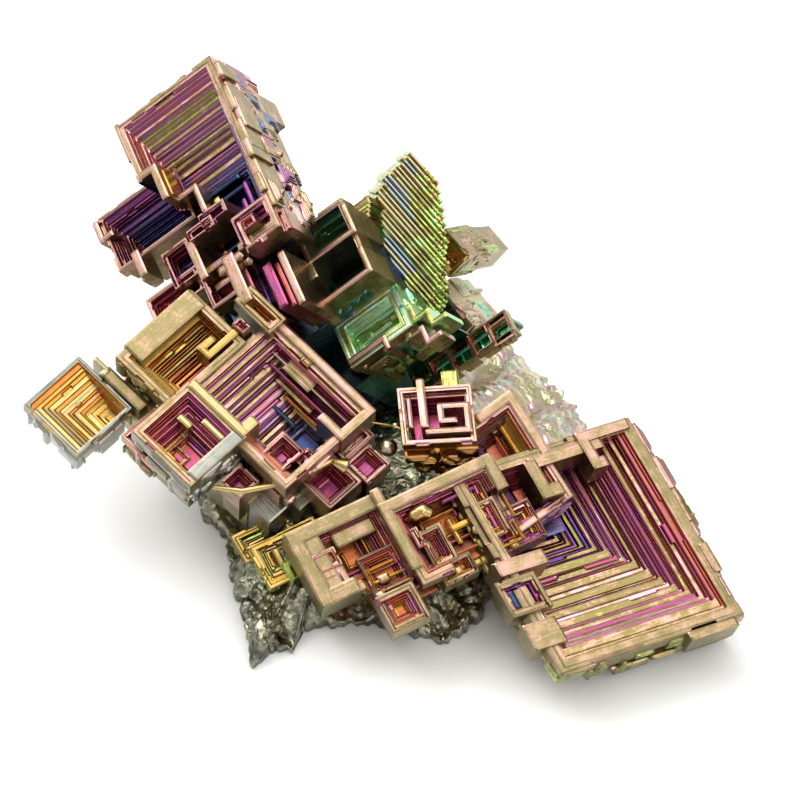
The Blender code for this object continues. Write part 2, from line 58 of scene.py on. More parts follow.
def heading(edgeA, edgeB, inwards=None):
    # Unit vectors along both edges of a mouth, and the way in, which points away from the viewer
    a = np.array(edgeA) / np.linalg.norm(edgeA)
    b = np.array(edgeB) / np.linalg.norm(edgeB)
    c = np.cross(a, b) if inwards is None else np.array(inwards)
    c = c / np.linalg.norm(c)
    return a, b, (-c if c[2] > 0.0 else c)


# The edge directions of each family of crystals, in u, v, w
headings = {
    "tower": heading((-0.769, -0.550, -0.316), (0.353, -0.784, 0.507)),
    "middle": heading((0.709, -0.674, 0.213), (-0.720, -0.644, 0.254)),
    "right": heading((0.492, -0.845, 0.210), (-0.925, -0.290, 0.250)),
    "front": heading((0.480, -0.870, 0.150), (-0.900, -0.420, 0.120)),
    "elbow": heading((0.530, -0.840, 0.180), (-0.815, -0.575, 0.100)),
    "spiral": heading((0.990, 0.060, 0.080), (0.090, -0.840, 0.530)),
    "fan": heading((0.640, -0.740, 0.200), (-0.600, -0.620, -0.300)),
    "plates": heading((0.640, -0.740, 0.200), (-0.600, -0.620, -0.300), (-0.120, 0.060, -1.000)),
}


def facePlane(way, corner):
    # The plane of a mouth: its first corner, both edge directions and the way in
    a, b, c = headings[way]
    return {"corner": np.array(corner, float), "a": a, "b": b, "c": c}


def sidesAt(face, u, v):
    # Solves corner + a x + b y for the place that lies over (u, v)
    matrix = np.array([[face["a"][0], face["b"][0]], [face["a"][1], face["b"][1]]])
    return np.linalg.solve(matrix, np.array([u, v]) - face["corner"][:2])


def beside(face, u, v, rise):
    # The same plane seen through (u, v), brought rise nearer
    x, y = sidesAt(face, u, v)
    spot = face["corner"] + face["a"] * x + face["b"] * y
    return {**face, "corner": np.array([u, v, spot[2] + rise])}


ledgeGap = 0.045  # half width of a riser's foot, mm: crystal edges are sharp, but not knife sharp
lipWidth = 0.16   # width of the sloping lip that runs along every ledge, mm
edgeBreak = 0.08  # how far the lip drops, mm
rimStep = 0.09    # how far the inner half of a rim lies below the outer half, mm
gapShare = 0.16   # on a narrow ledge, the riser's foot takes at most this share of the width
lipShare = 0.42   # and foot and lip together at most this one
riserSlope = 0.9  # a face steeper than this is a riser
lipSlope = 0.15   # and one steeper than this is a lip


def splitLines(edges):
    # Each cell between two edges gets four lines: two near its start and two near its end
    start, end = edges[:-1], edges[1:]
    near = np.minimum(ledgeGap, gapShare * (end - start))
    far = np.minimum(ledgeGap + lipWidth, lipShare * (end - start))
    lines = np.stack([start + near, start + far, end - far, end - near], axis=1).ravel()
    lines[0], lines[-1] = edges[0], edges[-1]
    return lines


def splitDepth(depth, axis, beyond):
    # The inner two lines keep the cell's depth. The outer two lean towards the next cell, by a third
    # of the step there and at most by edgeBreak; beyond is the step at the border.
    cells = np.moveaxis(depth, axis, 0)
    before = np.concatenate([cells[:1] + beyond, cells[:-1]])
    after = np.concatenate([cells[1:], cells[-1:] + beyond])
    first = cells + np.clip((before - cells) / 3.0, -edgeBreak, edgeBreak)
    last = cells + np.clip((after - cells) / 3.0, -edgeBreak, edgeBreak)
    lines = np.stack([first, cells, cells, last], axis=1).reshape(-1, cells.shape[1])
    return np.moveaxis(lines, 0, axis)


def wobble(a, b, seed, amount):
    # Two crossing sine waves with seeded phases, the slight waver of a grown edge
    phase = np.random.default_rng(seed).uniform(0.0, 2.0 * math.pi, 4)
    wave = np.sin(1.9 * a + 0.7 * b + phase[0]) + 0.6 * np.sin(4.3 * b - 1.1 * a + phase[1])
    other = np.sin(1.7 * b - 0.6 * a + phase[2]) + 0.6 * np.sin(4.7 * a + 1.3 * b + phase[3])
    return amount * wave, amount * other


def levelPatches(key):
    # Covers a grid of faces with rectangles (row, last row, column, last column) of equal key:
    # runs along each row, and equal runs in the rows that follow
    finished, growing = [], {}
    for row in range(key.shape[0] + 1):
        runs = {}
        if row < key.shape[0]:
            cuts = np.flatnonzero(key[row, 1:] != key[row, :-1]) + 1
            bounds = [0, *cuts.tolist(), key.shape[1]]
            for low, high in zip(bounds, bounds[1:]):
                name = (low, high, key[row, low])
                runs[name] = growing.pop(name, row)
        finished += [(first, row, low, high) for (low, high, _), first in growing.items()]
        growing = runs
    return finished


def sheetFaces(key, offset, flip):
    # The rectangles as faces that keep every point where another rectangle's corner touches them.
    # Gives the faces, a face's row and column for looking up values, and which points are in use.
    patches = levelPatches(key)
    used = np.zeros((key.shape[0] + 1, key.shape[1] + 1), bool)
    corners = np.array(patches)
    for row, column in ((0, 2), (0, 3), (1, 2), (1, 3)):
        used[corners[:, row], corners[:, column]] = True
    columns = used.shape[1]
    byRow = [np.flatnonzero(line) for line in used]
    byColumn = [np.flatnonzero(line) for line in used.T]
    faces = []
    for first, last, low, high in patches:
        down = byColumn[low][(byColumn[low] >= first) & (byColumn[low] < last)] * columns + low
        across = byRow[last][(byRow[last] >= low) & (byRow[last] < high)] + last * columns
        up = byColumn[high][(byColumn[high] > first) & (byColumn[high] <= last)][::-1] * columns + high
        back = byRow[first][(byRow[first] > low) & (byRow[first] <= high)][::-1] + first * columns
        loop = np.concatenate([down, across, up, back]) + offset
        faces.append(loop[::-1] if flip else loop)
    return faces, corners[:, 0], corners[:, 2], used


def borderSides(used):
    # The points in use along b = 0, a = length, b = width and a = 0, going round
    rows, columns = used.shape
    index = np.arange(rows * columns).reshape(rows, columns)
    return [index[:, 0][used[:, 0]], index[-1][used[-1]], index[::-1, -1][used[::-1, -1]],
            index[0, ::-1][used[0, ::-1]]]


# Faces merge into one where film, dull, turn, kind, depths and slopes agree: the key is the sum of
# those, each times its own weight, and the weights are so unrelated that other sums don't meet
keyWeights = (7.31, 3.77, 5.9, 11.3, 1.618, 2.718, 0.577, 17.1, 0.0131)


def slabSurface(face, edgesA, edgesB, front, back, film, dull, turn, outer, seed, waver=0.02):
    # A closed slab: a front and a back, each a depth over the same cells, and a wall round the
    # border. film and dull hold, for every cell, the values of its ledge, its four risers and its lip;
    # turn is 1 where growth lines run along edge a and 0 where they run along edge b; outer is the
    # (film, dull) of the four outer sides and the back. grown keeps each point's own (a, b, depth).
    linesA, linesB = splitLines(edgesA), splitLines(edgesB)
    gridA, gridB = np.meshgrid(linesA, linesB, indexing="ij")
    shiftA, shiftB = wobble(gridA, gridB, seed, waver)
    place = face["corner"] + (gridA + shiftA)[..., None] * face["a"] + (gridB + shiftB)[..., None] * face["b"]
    rows, columns = gridA.shape
    turned = np.dot(np.cross(face["a"], face["b"]), face["c"]) > 0.0
    numberA, numberB = np.meshgrid(np.arange(rows - 1), np.arange(columns - 1), indexing="ij")
    cellA, cellB = (numberA + 1) // 4, (numberB + 1) // 4
    points, faces, films, dulls, turns, usedPoints, grown = [], [], [], [], [], [], []
    for sheet, (depth, beyond) in enumerate(((front, 3.0 * edgeBreak), (back, -3.0 * edgeBreak))):
        lines = splitDepth(splitDepth(depth, 0, beyond), 1, beyond)
        points.append((place + lines[..., None] * face["c"]).reshape(-1, 3))
        grown.append(np.stack([gridA, gridB, lines], axis=-1).reshape(-1, 3))
        # Ledges are where the depth is level; elsewhere the riser faces the way the depth falls off
        stepA = lines[1:, :-1] - lines[:-1, :-1] + lines[1:, 1:] - lines[:-1, 1:]
        stepB = lines[:-1, 1:] - lines[:-1, :-1] + lines[1:, 1:] - lines[1:, :-1]
        slopeA = np.abs(stepA) / (2.0 * np.diff(linesA)[:, None])
        slopeB = np.abs(stepB) / (2.0 * np.diff(linesB)[None, :])
        riserA = (slopeA > riserSlope) & (slopeA >= slopeB)
        kind = np.select([riserA, slopeB > riserSlope, np.maximum(slopeA, slopeB) > lipSlope],
                         [np.where(stepA > 0.0, 1, 2), np.where(stepB > 0.0, 3, 4), 5], 0)
        if sheet == 0:
            cellValues = (film[kind, cellA, cellB], dull[kind, cellA, cellB], turn[cellA, cellB] * 1.0)
        else:
            cellValues = [np.full(kind.shape, value) for value in (*outer[4], 0.0)]
        marks = (*cellValues, kind, lines[:-1, :-1], lines[1:, 1:], lines[1:, :-1],
                 (slopeA > 0.0) * (numberA + 1), (slopeB > 0.0) * (numberB + 1))
        key = sum(mark * weight for mark, weight in zip(marks, keyWeights))
        flip = turned if sheet == 0 else not turned
        sheetList, atRow, atColumn, used = sheetFaces(key, sheet * rows * columns, flip)
        faces += sheetList
        for kept, value in zip((films, dulls, turns), cellValues):
            kept.append(value[atRow, atColumn])
        usedPoints.append(used)
    sides = zip(borderSides(usedPoints[0]), borderSides(usedPoints[1]), (2, 1, 3, 0))
    for near, far, side in sides:
        wall = np.concatenate([near[::-1], far + rows * columns])
        faces.append(wall[::-1] if turned else wall)
        for kept, value in zip((films, dulls, turns), (*outer[side], float(side > 1))):
            kept.append([value])
    sizes = np.array([len(loop) for loop in faces])
    corners = np.concatenate(faces)
    inUse, corners = np.unique(corners, return_inverse=True)
    return {"points": np.concatenate(points)[inUse], "grown": np.concatenate(grown)[inUse],
            "corners": corners.ravel(), "sizes": sizes, "film": np.concatenate(films),
            "dull": np.concatenate(dulls), "turn": np.concatenate(turns)}


def joined(parts):
    # One set of points, faces and face values from several
    starts = np.cumsum([0] + [len(part["points"]) for part in parts])
    keys = ("points", "grown", "sizes", "film", "dull", "turn")
    whole = {key: np.concatenate([part[key] for part in parts]) for key in keys}
    whole["corners"] = np.concatenate([part["corners"] + start for part, start in zip(parts, starts)])
    return whole


def plainMesh(name, points, corners, sizes, values):
    # A mesh from table points and faces of any size, with values kept per face
    mesh = bpy.data.meshes.new(name)
    mesh.vertices.add(len(points))
    mesh.vertices.foreach_set("co", points.ravel())
    mesh.loops.add(len(corners))
    mesh.loops.foreach_set("vertex_index", corners)
    mesh.polygons.add(len(sizes))
    mesh.polygons.foreach_set("loop_start", np.cumsum(sizes) - sizes)
    mesh.update(calc_edges=True)
    for key, numbers in values.items():
        mesh.attributes.new(key, "FLOAT", "FACE").data.foreach_set("value", numbers.astype(float))
    return mesh


def cutAtTable(mesh):
    # Takes away what would lie below the table, and closes the cut
    work = bmesh.new()
    work.from_mesh(mesh)
    everything = [*work.verts, *work.edges, *work.faces]
    cut = bmesh.ops.bisect_plane(work, geom=everything, dist=1e-7, plane_co=(0.0, 0.0, 0.0),
                                 plane_no=(0.0, 0.0, 1.0), clear_inner=True)
    openEdges = [item for item in cut["geom_cut"] if isinstance(item, bmesh.types.BMEdge)]
    bmesh.ops.edgeloop_fill(work, edges=openEdges)
    work.to_mesh(mesh)
    work.free()


def showPiece(name, mesh, material):
    # Links a finished mesh as a piece of the cluster and says how big it is
    mesh.materials.append(material)
    piece = bpy.data.objects.new(name, mesh)
    bpy.context.scene.collection.objects.link(piece)
    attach(piece, "root")
    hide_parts(cluster)
    mesh.calc_loop_triangles()
    print(name, len(mesh.loop_triangles), "triangles")
    return piece


def makePiece(name, parts):
    # One piece of oxidised bismuth from its parts, brought from the slanting plane to the table
    whole = joined(parts)
    points = toTable(whole["points"])
    mesh = plainMesh(name, points, whole["corners"], whole["sizes"],
                     {key: whole[key] for key in ("film", "dull", "turn")})
    mesh.attributes.new("grown", "FLOAT_VECTOR", "POINT").data.foreach_set("vector", whole["grown"].ravel())
    mesh.shade_flat()
    if points[:, 2].min() < 0.0:
        cutAtTable(mesh)
    return showPiece(name, mesh, oxide)


def unevenSteps(start, run, count, seed, spread=0.4, second=1.0):
    # Positions of count risers from start, over run, with seeded uneven widths; every second ledge
    # is narrower by the factor second
    widths = np.random.default_rng(seed).uniform(1.0 - spread, 1.0 + spread, count)
    widths[1::2] *= second
    places = np.concatenate([[0.0], np.cumsum(widths[1:])])
    return start + places * run / max(places[-1], 1e-6)


def thinned(edges, least=0.07):
    # Drops an edge that lies closer than least to the one before it
    edges = np.sort(np.asarray(edges))
    keep = [edges[0]]
    for edge in edges[1:-1]:
        if edge - keep[-1] > least and edges[-1] - edge > least:
            keep.append(edge)
    return np.array(keep + [edges[-1]])


def span(side, reach, start, end, length, width):
    # The rectangle (a0, a1, b0, b1) between two distances in from a side, from start to end along it
    low, high = sorted(reach)
    if side == 0:
        return low, high, start, end
    if side == 1:
        return length - high, length - low, start, end
    if side == 2:
        return start, end, low, high
    return start, end, width - high, width - low


# How growth strays on every hopper: the start and the length are shares of the side, a jog's reach
# is a share of its ledge, a chip's reach one of the rim, and its depth is in mm
strays = {
    "jogStart": (0.08, 0.75), "jogLength": (0.07, 0.2), "jogReach": 0.55, "jogChance": 0.5,
    "chipStart": (0.0, 0.85), "chipLength": (0.06, 0.2), "chipReach": (0.15, 0.5), "chipDepth": (0.25, 0.8),
}
rimShares = (0.5, 0.38, 0.6, 0.45)  # where each side's rim drops by rimStep, from its outer edge


def cellEdges(size, near, far, ends):
    # Every line across one edge: distances from its start, distances from its end, and other places
    places = [0.0, size, *near, *(size - np.array(far)), *ends]
    return thinned([x for x in places if 0.0 <= x <= size])


def hopperSlab(face, spec, seed):
    # A hollow crystal. For each cell, the ring is the least number of risers passed from any of the
    # four sides; the front's depth follows from the ring, and the back's from the outer terraces.
    # Jogs are short stretches of ledge where growth ran ahead or fell behind, chips are dents
    # in the rim's outer edge, and bites are oblongs where the crystal is cut down to a depth.
    length, width = sidesAt(face, *spec["far"])
    steps, rim = spec["steps"] + 1, spec["rim"]
    terraces, second = spec.get("terraces", 4), spec.get("second", 0.55)
    depths = np.concatenate([[0.0], unevenSteps(rimStep, spec["depth"] - rimStep, steps, seed + 5, 0.3)])
    inner = [np.concatenate([[rim * share], unevenSteps(rim, run, steps - 1, seed + side, 0.4, second)])
             for side, (run, share) in enumerate(zip(spec["runs"], rimShares))]
    outer = [unevenSteps(0.0, taper, terraces, seed + 11 + side)[1:]
             for side, taper in enumerate(spec["tapers"])]
    behind = unevenSteps(0.0, spec["body"], terraces + 1, seed + 17, 0.3)[1:]
    random = np.random.default_rng(seed + 23)
    spans = []
    for _ in range(spec.get("jogs", 6)):
        side, ring = int(random.integers(0, 4)), 1 + int((steps - 2) * random.random() ** 1.6)
        along = width if side < 2 else length
        start = random.uniform(*strays["jogStart"]) * along
        wide = max(inner[side][min(ring + 1, steps - 1)] - inner[side][ring], 0.15)
        change = 1 if random.random() < strays["jogChance"] else -1
        reach = (inner[side][ring], inner[side][ring] - strays["jogReach"] * wide * change)
        end = min(start + random.uniform(*strays["jogLength"]) * along, along - rim)
        spans.append((span(side, reach, start, end, length, width), "jog", side, change))
    for _ in range(spec.get("chips", 4)):
        side = int(random.integers(0, 4))
        along = width if side < 2 else length
        start = random.uniform(*strays["chipStart"]) * along
        end = min(start + random.uniform(*strays["chipLength"]) * along, along)
        reach = (0.0, random.uniform(*strays["chipReach"]) * rim)
        depth = random.uniform(*strays["chipDepth"])
        spans.append((span(side, reach, start, end, length, width), "chip", side, depth))
    for *bite, depth in spec.get("bites", ()):
        spans.append((tuple(bite), "bite", 0, depth))
    boxes = [box for box, *_ in spans]
    insets = [(*into, *behindIt) for into, behindIt in zip(inner, outer)]
    edgesA = cellEdges(length, insets[0], insets[1], [a for box in boxes for a in box[:2]])
    edgesB = cellEdges(width, insets[2], insets[3], [b for box in boxes for b in box[2:]])
    middles = [(edges[:-1] + edges[1:]) / 2.0 for edges in (edgesA, edgesB)]
    gridA, gridB = np.meshgrid(*middles, indexing="ij")
    reaches = (gridA, length - gridA, gridB, width - gridB)
    rings = np.stack([np.searchsorted(inset, reach) for inset, reach in zip(inner, reaches)])
    inside = [(gridA > a0) & (gridA < a1) & (gridB > b0) & (gridB < b1) for a0, a1, b0, b1 in boxes]
    for cells, (_, kind, side, change) in zip(inside, spans):
        if kind == "jog":
            rings[side][cells] += change
    rings = np.clip(rings, 0, steps)
    ring, side = rings.min(axis=0), rings.argmin(axis=0)
    # A twisted hopper's ledges rise from side to side, like a winding stair
    turn = np.array([0.0, 0.5, 0.25, 0.75])[side] * spec.get("twist", 0.0) * (ring > 0)
    front = np.interp(ring + turn, np.arange(steps + 1), depths)
    for cells, (_, kind, _, depth) in zip(inside, spans):
        if kind == "chip":
            front[cells & (ring <= 1)] = depth
        if kind == "bite":
            front[cells] = depth
            ring[cells] = steps
    backRing = np.stack([np.searchsorted(inset, reach) for inset, reach in zip(outer, reaches)]).min(axis=0)
    back = np.maximum(behind[backRing], front + 0.3)
    tone = tones[spec["tone"]]
    film, dull = filmOf(tone, ring, side, steps, seed)
    return slabSurface(face, edgesA, edgesB, front, back, film, dull, side > 1, tone["outer"], seed,
                       spec.get("waver", 0.02))


def filmOf(tone, ring, side, steps, seed):
    # The oxide's thickness on each cell's ledge, its four kinds of riser and its lip, from rim to
    # floor, with a seeded change from ledge to ledge; and how dull each is, most of all on the rim.
    # Every second ledge is a narrow one, with values of its own.
    # The dark navy films on a pit's floor and on the deepest ledges of some walls are partly the oxide's blue
    # and partly painted shade deep in the pit.
    tone = {"between": tone["risers"], "lips": tone["ledges"], **plainTone, **tone}
    random = np.random.default_rng(seed + 31)
    share = np.arange(steps + 1) / steps
    film = np.zeros((6,) + ring.shape)
    dull = np.zeros_like(film)

    def spread(rows):
        # Each row's values, nearest in place, over all the rings
        values = [np.array(row)[np.rint(share * (len(row) - 1)).astype(int)] for row in rows]
        return np.stack(values) + random.uniform(-tone["uneven"], tone["uneven"], (len(rows), steps + 1))

    ledges, risers, between, lips = [spread(tone[part]) for part in ("ledges", "risers", "between", "lips")]
    narrow, onRim, onFloor = ring % 2 == 0, ring <= 1, ring == steps
    film[0] = np.where(narrow, between[side, ring], ledges[side, ring])
    film[0] = np.where(onRim, tone["rim"] + 0.015 * ring, film[0])
    # The floor's film, a dark navy by default, is partly painted shade at the bottom of the pit
    film[0][onFloor] = tone["floor"]
    dull[0] = np.where(narrow, tone["betweenDull"], tone["dull"])
    dull[0] = np.where(onRim, tone["rimDull"] * (1.0 - 0.15 * ring), dull[0])
    dull[0][onFloor] = tone["floorDull"]
    film[1:5] = risers[:, ring]
    dull[1:5] = tone["riserDull"]
    # On the rim the lip's film lies a little past the rim's own, a painted highlight that brightens the
    # broken edge
    film[5] = np.where(onRim, tone["rim"] + 0.01, lips[side, ring])
    dull[5] = np.where(onRim, tone["rimDull"], tone["lipDull"])
    return np.clip(film, 0.0, 1.0), dull


def block(face, spanA, spanB, top, bottom, film, dull=0.85, seed=0):
    # A plain block with broken edges, from top above the face down to bottom; its sides have a
    # thinner and shinier film
    films = np.full((6, 1, 1), film)
    dulls = np.full((6, 1, 1), dull)
    # The lip's film lies a little past the block's own, a painted highlight along its broken edges
    films[5] = film + 0.01
    outer = [(film - 0.02, dull * 0.7)] * 5
    turn = np.array([[spanA[1] - spanA[0] > spanB[1] - spanB[0]]])
    return slabSurface(face, np.array(spanA, float), np.array(spanB, float), np.array([[-top]]),
                       np.array([[bottom]]), films, dulls, turn, outer, seed, 0.01)


def blockTo(face, near, far, top, bottom, film, dull=0.85, seed=0):
    # A block between two working points on a face
    spanA, spanB = zip(sidesAt(face, *near), sidesAt(face, *far))
    return block(face, sorted(spanA), sorted(spanB), top, bottom, film, dull, seed)


def wound(face, points, width, top, bottom, film, dull=0.85, seed=0):
    # A square-cornered bar: each leg is turned onto the nearer edge direction and made a block
    spots = [np.array(sidesAt(face, *points[0]))]
    for u, v in points[1:]:
        leg = np.array(sidesAt(face, u, v)) - spots[-1]
        leg[np.argmin(np.abs(leg))] = 0.0
        spots.append(spots[-1] + leg)
    return barAlong(face, spots, width, top, bottom, (film,), dull, seed)


def barAlong(face, spots, width, top, bottom, films, dull, seed, drop=0.0):
    # Blocks laid along a line of (a, b) spots, each by drop lower than the one before
    half = width / 2.0
    parts = []
    for number, (p, q) in enumerate(zip(spots, spots[1:])):
        low, high = np.minimum(p, q) - half, np.maximum(p, q) + half
        if number == 0:
            low, high = trimmed(low, high, p, q, half)
        if number == len(spots) - 2:
            low, high = trimmed(low, high, q, p, half)
        shift = 0.015 * (number % 3)
        parts.append(block(face, (low[0], high[0]), (low[1], high[1]), top - shift - drop * number,
                           bottom + shift, films[number % len(films)], dull, seed + number))
    return parts


def squareSpiral(near, far, legs, pitch):
    # Corners of a line that winds inwards: each turn lies by pitch inside the one before
    (a0, b0), (a1, b1) = near, far
    spots = []
    for number in range(legs + 1):
        turn, corner = divmod(number, 4)
        inset = pitch * turn
        a = (a0 + max(inset - pitch, 0.0), a1 - inset, a1 - inset, a0 + inset)[corner]
        b = (b0 + inset, b0 + inset, b1 - inset, b1 - inset)[corner]
        spots.append(np.array([a, b]))
    return spots


def trimmed(low, high, end, other, half):
    # Ends a leg square at its free end
    axis = int(np.argmax(np.abs(other - end)))
    if other[axis] > end[axis]:
        low[axis] += half
    else:
        high[axis] -= half
    return low, high


# The thin plates on the outer sides. length (squared) and height are shares of a crust's size, and
# stand a share of its largest reach; every layer is smaller by inset and stands out farther by step
plates = {
    "layers": 4, "length": (0.3, 1.0), "height": (0.35, 1.5), "stand": (0.25, 0.6),
    "inset": 0.20, "step": 0.25, "root": 0.7, "tint": 0.015, "dull": 0.55,
}


def crusted(face, far, seed, side, count, share, depths, reach, film, size=2.0):
    # Thin rectangular plates that stand off an outer side, within share of its length and between
    # two depths, each with smaller ones on top; film is one thickness or several to choose from
    length, width = sidesAt(face, *far)
    random = np.random.default_rng(seed)
    along = width if side < 2 else length
    parts = []
    for _ in range(count):
        half = random.uniform(*plates["length"]) ** 2 * min(size, 0.2 * along)
        at = min(max(random.uniform(*share) * along, half), along - half)
        top = random.uniform(*depths)
        bottom = top + random.uniform(*plates["height"]) * size
        out = random.uniform(*plates["stand"]) * reach
        tint = random.choice(film if isinstance(film, tuple) else (film - 0.03, film - 0.01, film + 0.01))
        for layer in range(plates["layers"]):
            inset = plates["inset"] * layer * min(half, 0.5 * (bottom - top))
            reaches = (-out * (1.0 + plates["step"] * layer), plates["root"])
            box = span(side, reaches, at - half + 1.6 * inset, at + half - 1.1 * inset, length, width)
            parts.append(block(face, box[:2], box[2:], -top - inset, bottom - inset,
                               tint - plates["tint"] * (layer % 2), plates["dull"], seed + layer))
    return parts


def drawnOut(points, radii, film, dull, around=14, along=6):
    # A tube of metal drawn out through points (u, v, w), closed to a point at both ends: circles of
    # changing radius, square to the path, whose centres and radii run smoothly between the points
    points, radii = np.array(points, float), np.array(radii, float)
    fine = np.linspace(0.0, len(points) - 1.0, (len(points) - 1) * along + 1)
    whole = np.minimum(fine.astype(int), len(points) - 2)
    share = fine - whole
    ease = (share - np.sin(2.0 * math.pi * share) / (2.0 * math.pi) * 0.6)[:, None]
    centres = points[whole] * (1.0 - ease) + points[whole + 1] * ease
    radius = radii[whole] * (1.0 - ease[:, 0]) + radii[whole + 1] * ease[:, 0]
    path = np.gradient(centres, axis=0)
    path /= np.linalg.norm(path, axis=1)[:, None]
    across = np.cross(path, (0.31, 0.22, 0.93))
    across /= np.linalg.norm(across, axis=1)[:, None]
    up = np.cross(across, path)
    turn = np.linspace(0.0, 2.0 * math.pi, around + 1)[:-1]
    rings = centres[:, None] + radius[:, None, None] * (
        np.cos(turn)[None, :, None] * across[:, None] + np.sin(turn)[None, :, None] * up[:, None])
    count = len(centres)
    index = np.arange(count * around).reshape(count, around)
    after = np.roll(index, -1, axis=1)
    quads = np.stack([index[:-1], after[:-1], after[1:], index[1:]], axis=-1).reshape(-1, 4)
    corners = np.concatenate([quads.ravel(), index[0][::-1], index[-1]])
    sizes = np.concatenate([np.full(len(quads), 4), [around, around]])
    spots = rings.reshape(-1, 3)
    values = {key: np.full(len(sizes), value)
              for key, value in (("film", film), ("dull", dull), ("turn", 0.0))}
    return {"points": spots, "grown": spots, "corners": corners, "sizes": sizes, **values}


def bead(place, radius, film, dull, squash=0.85):
    # A drop of metal: circles whose radius follows a half circle
    turn = np.linspace(0.06, math.pi - 0.06, 13)
    points = [np.array(place) + np.array([0.35, 0.5, 0.79]) * radius * squash * math.cos(t) for t in turn]
    return drawnOut(points, radius * np.sin(turn), film, dull, around=22, along=1)


spiralDrop = 0.12  # how much lower each leg of a square spiral lies, mm


def grow(name, spec):
    # One piece from its dictionary. Hoppers and solids stand on their own corners; the rest stands on
    # the plane of the hopper whose number comes first. Points are (u, v), and the other values are
    #   small    near, far, rise, depth, runs, steps, rim, body, tone
    #   bars     points, width, top, bottom, film, dull
    #   spirals  near and far (a, b), legs, width, pitch, top, bottom, films, dull
    #   blocks   near, far, rise, bottom, film, dull
    #   tops     near, far, top, bottom, film, dull
    #   solids   corner, far, top, bottom, film, dull
    #   crusts   side, count, share of the side, depths, reach, film, size
    seed = spec["seed"]
    planes = [facePlane(spec["way"], hopper["corner"]) for hopper in spec["hoppers"]]
    evenTapers = {"tapers": (0.8, 0.8, 0.8, 0.8)}
    parts = [hopperSlab(plane, {**evenTapers, **hopper}, seed + 100 * number)
             for number, (plane, hopper) in enumerate(zip(planes, spec["hoppers"]))]

    def listed(kind, first, step=1):
        # The entries of one kind, each with a seed of its own
        return [(seed + first + step * number, *entry) for number, entry in enumerate(spec.get(kind, ()))]

    for key, on, near, far, rise, depth, runs, steps, rim, body, tone in listed("small", 1000, 40):
        hopper = {"far": far, "depth": depth, "runs": runs, "steps": steps, "rim": rim, "body": body,
                  "tone": tone, "tapers": (0.3, 0.3, 0.3, 0.3), "terraces": 2, "jogs": 3, "chips": 2,
                  "twist": 1.0, "waver": 0.015}
        parts.append(hopperSlab(beside(planes[on], *near, rise), hopper, key))
    for key, on, *bar in listed("bars", 0):
        parts += wound(planes[on], *bar, seed=key)
    for key, on, near, far, legs, width, pitch, *rest in listed("spirals", 500):
        parts += barAlong(planes[on], squareSpiral(near, far, legs, pitch), width, *rest, key, spiralDrop)
    for key, on, near, far, rise, *rest in listed("blocks", 0):
        parts.append(blockTo(beside(planes[on], *near, rise), near, far, 0.0, *rest, seed=key))
    for key, on, near, *rest in listed("tops", 30):
        parts.append(blockTo(beside(planes[on], *near, 0.0), near, *rest, seed=key))
    for key, corner, *rest in listed("solids", 60):
        parts.append(blockTo(facePlane(spec["way"], corner), corner[:2], *rest, seed=key))
    for key, on, *crust in listed("crusts", 2000):
        parts += crusted(planes[on], spec["hoppers"][on]["far"], key, *crust)
    return makePiece(name, parts)


def toLinear(hexColour):
    # sRGB hex to the linear values that shaders use
    channels = [int(hexColour[i:i + 2], 16) / 255.0 for i in (1, 3, 5)]
    linear = [c / 12.92 if c <= 0.04045 else ((c + 0.055) / 1.055) ** 2.4 for c in channels]
    return (*linear, 1.0)


def addNode(tree, kind, settings=None, links=None):
    # A node with its settings: names set a property, and sockets are set or linked by name or number
    node = tree.nodes.new(kind)
    for name, value in (settings or {}).items():
        if isinstance(name, str) and hasattr(node, name):
            setattr(node, name, value)
        else:
            node.inputs[name].default_value = value
    for name, socket in (links or {}).items():
        tree.links.new(socket, node.inputs[name])
    return node


def ramped(tree, stops, value):
    # The colour that a ramp of (place, hex colour) stops has at value
    node = addNode(tree, "ShaderNodeValToRGB", None, {"Fac": value})
    ramp = node.color_ramp
    while len(ramp.elements) > 1:
        ramp.elements.remove(ramp.elements[-1])
    for number, (place, colour) in enumerate(stops):
        element = ramp.elements[0] if number == 0 else ramp.elements.new(place)
        element.position = place
        element.color = toLinear(colour)
    return node.outputs["Color"]


def noise(tree, place, size, detail):
    # Noise from 0 to 1 whose patches are about size mm wide
    return addNode(tree, "ShaderNodeTexNoise", {"Scale": 1.0 / (size * mm), "Detail": detail},
                   {"Vector": place}).outputs["Fac"]


def scaled(tree, value, factor, plus, clamped=False):
    # value times factor, plus a number or another value
    settings, links = {"operation": "MULTIPLY_ADD", "use_clamp": clamped, 1: factor}, {0: value}
    (settings if isinstance(plus, float) else links)[2] = plus
    return addNode(tree, "ShaderNodeMath", settings, links).outputs[0]


def added(tree, first, second):
    return addNode(tree, "ShaderNodeMath", {"operation": "ADD"}, {0: first, 1: second}).outputs[0]


def bareMetal(name):
    # A metal with its node tree, the place of each point and its film, ready for colour and grain
    material = bpy.data.materials.new(name)
    material.use_nodes = True
    tree = material.node_tree
    tree.nodes["Principled BSDF"].inputs["Metallic"].default_value = 1.0
    place = addNode(tree, "ShaderNodeTexCoord").outputs["Object"]
    film = addNode(tree, "ShaderNodeAttribute", {"attribute_name": "film"}).outputs["Fac"]
    return material, tree, place, film


def finished(material, colour, roughness, height, strength, depth):
    # Joins colour, roughness and a bump of so many mm to the shader
    tree = material.node_tree
    bump = addNode(tree, "ShaderNodeBump", {"Strength": strength, "Distance": depth * mm}, {"Height": height})
    shader = tree.nodes["Principled BSDF"]
    for name, socket in (("Base Color", colour), ("Roughness", roughness), ("Normal", bump.outputs[0])):
        tree.links.new(socket, shader.inputs[name])
    return material


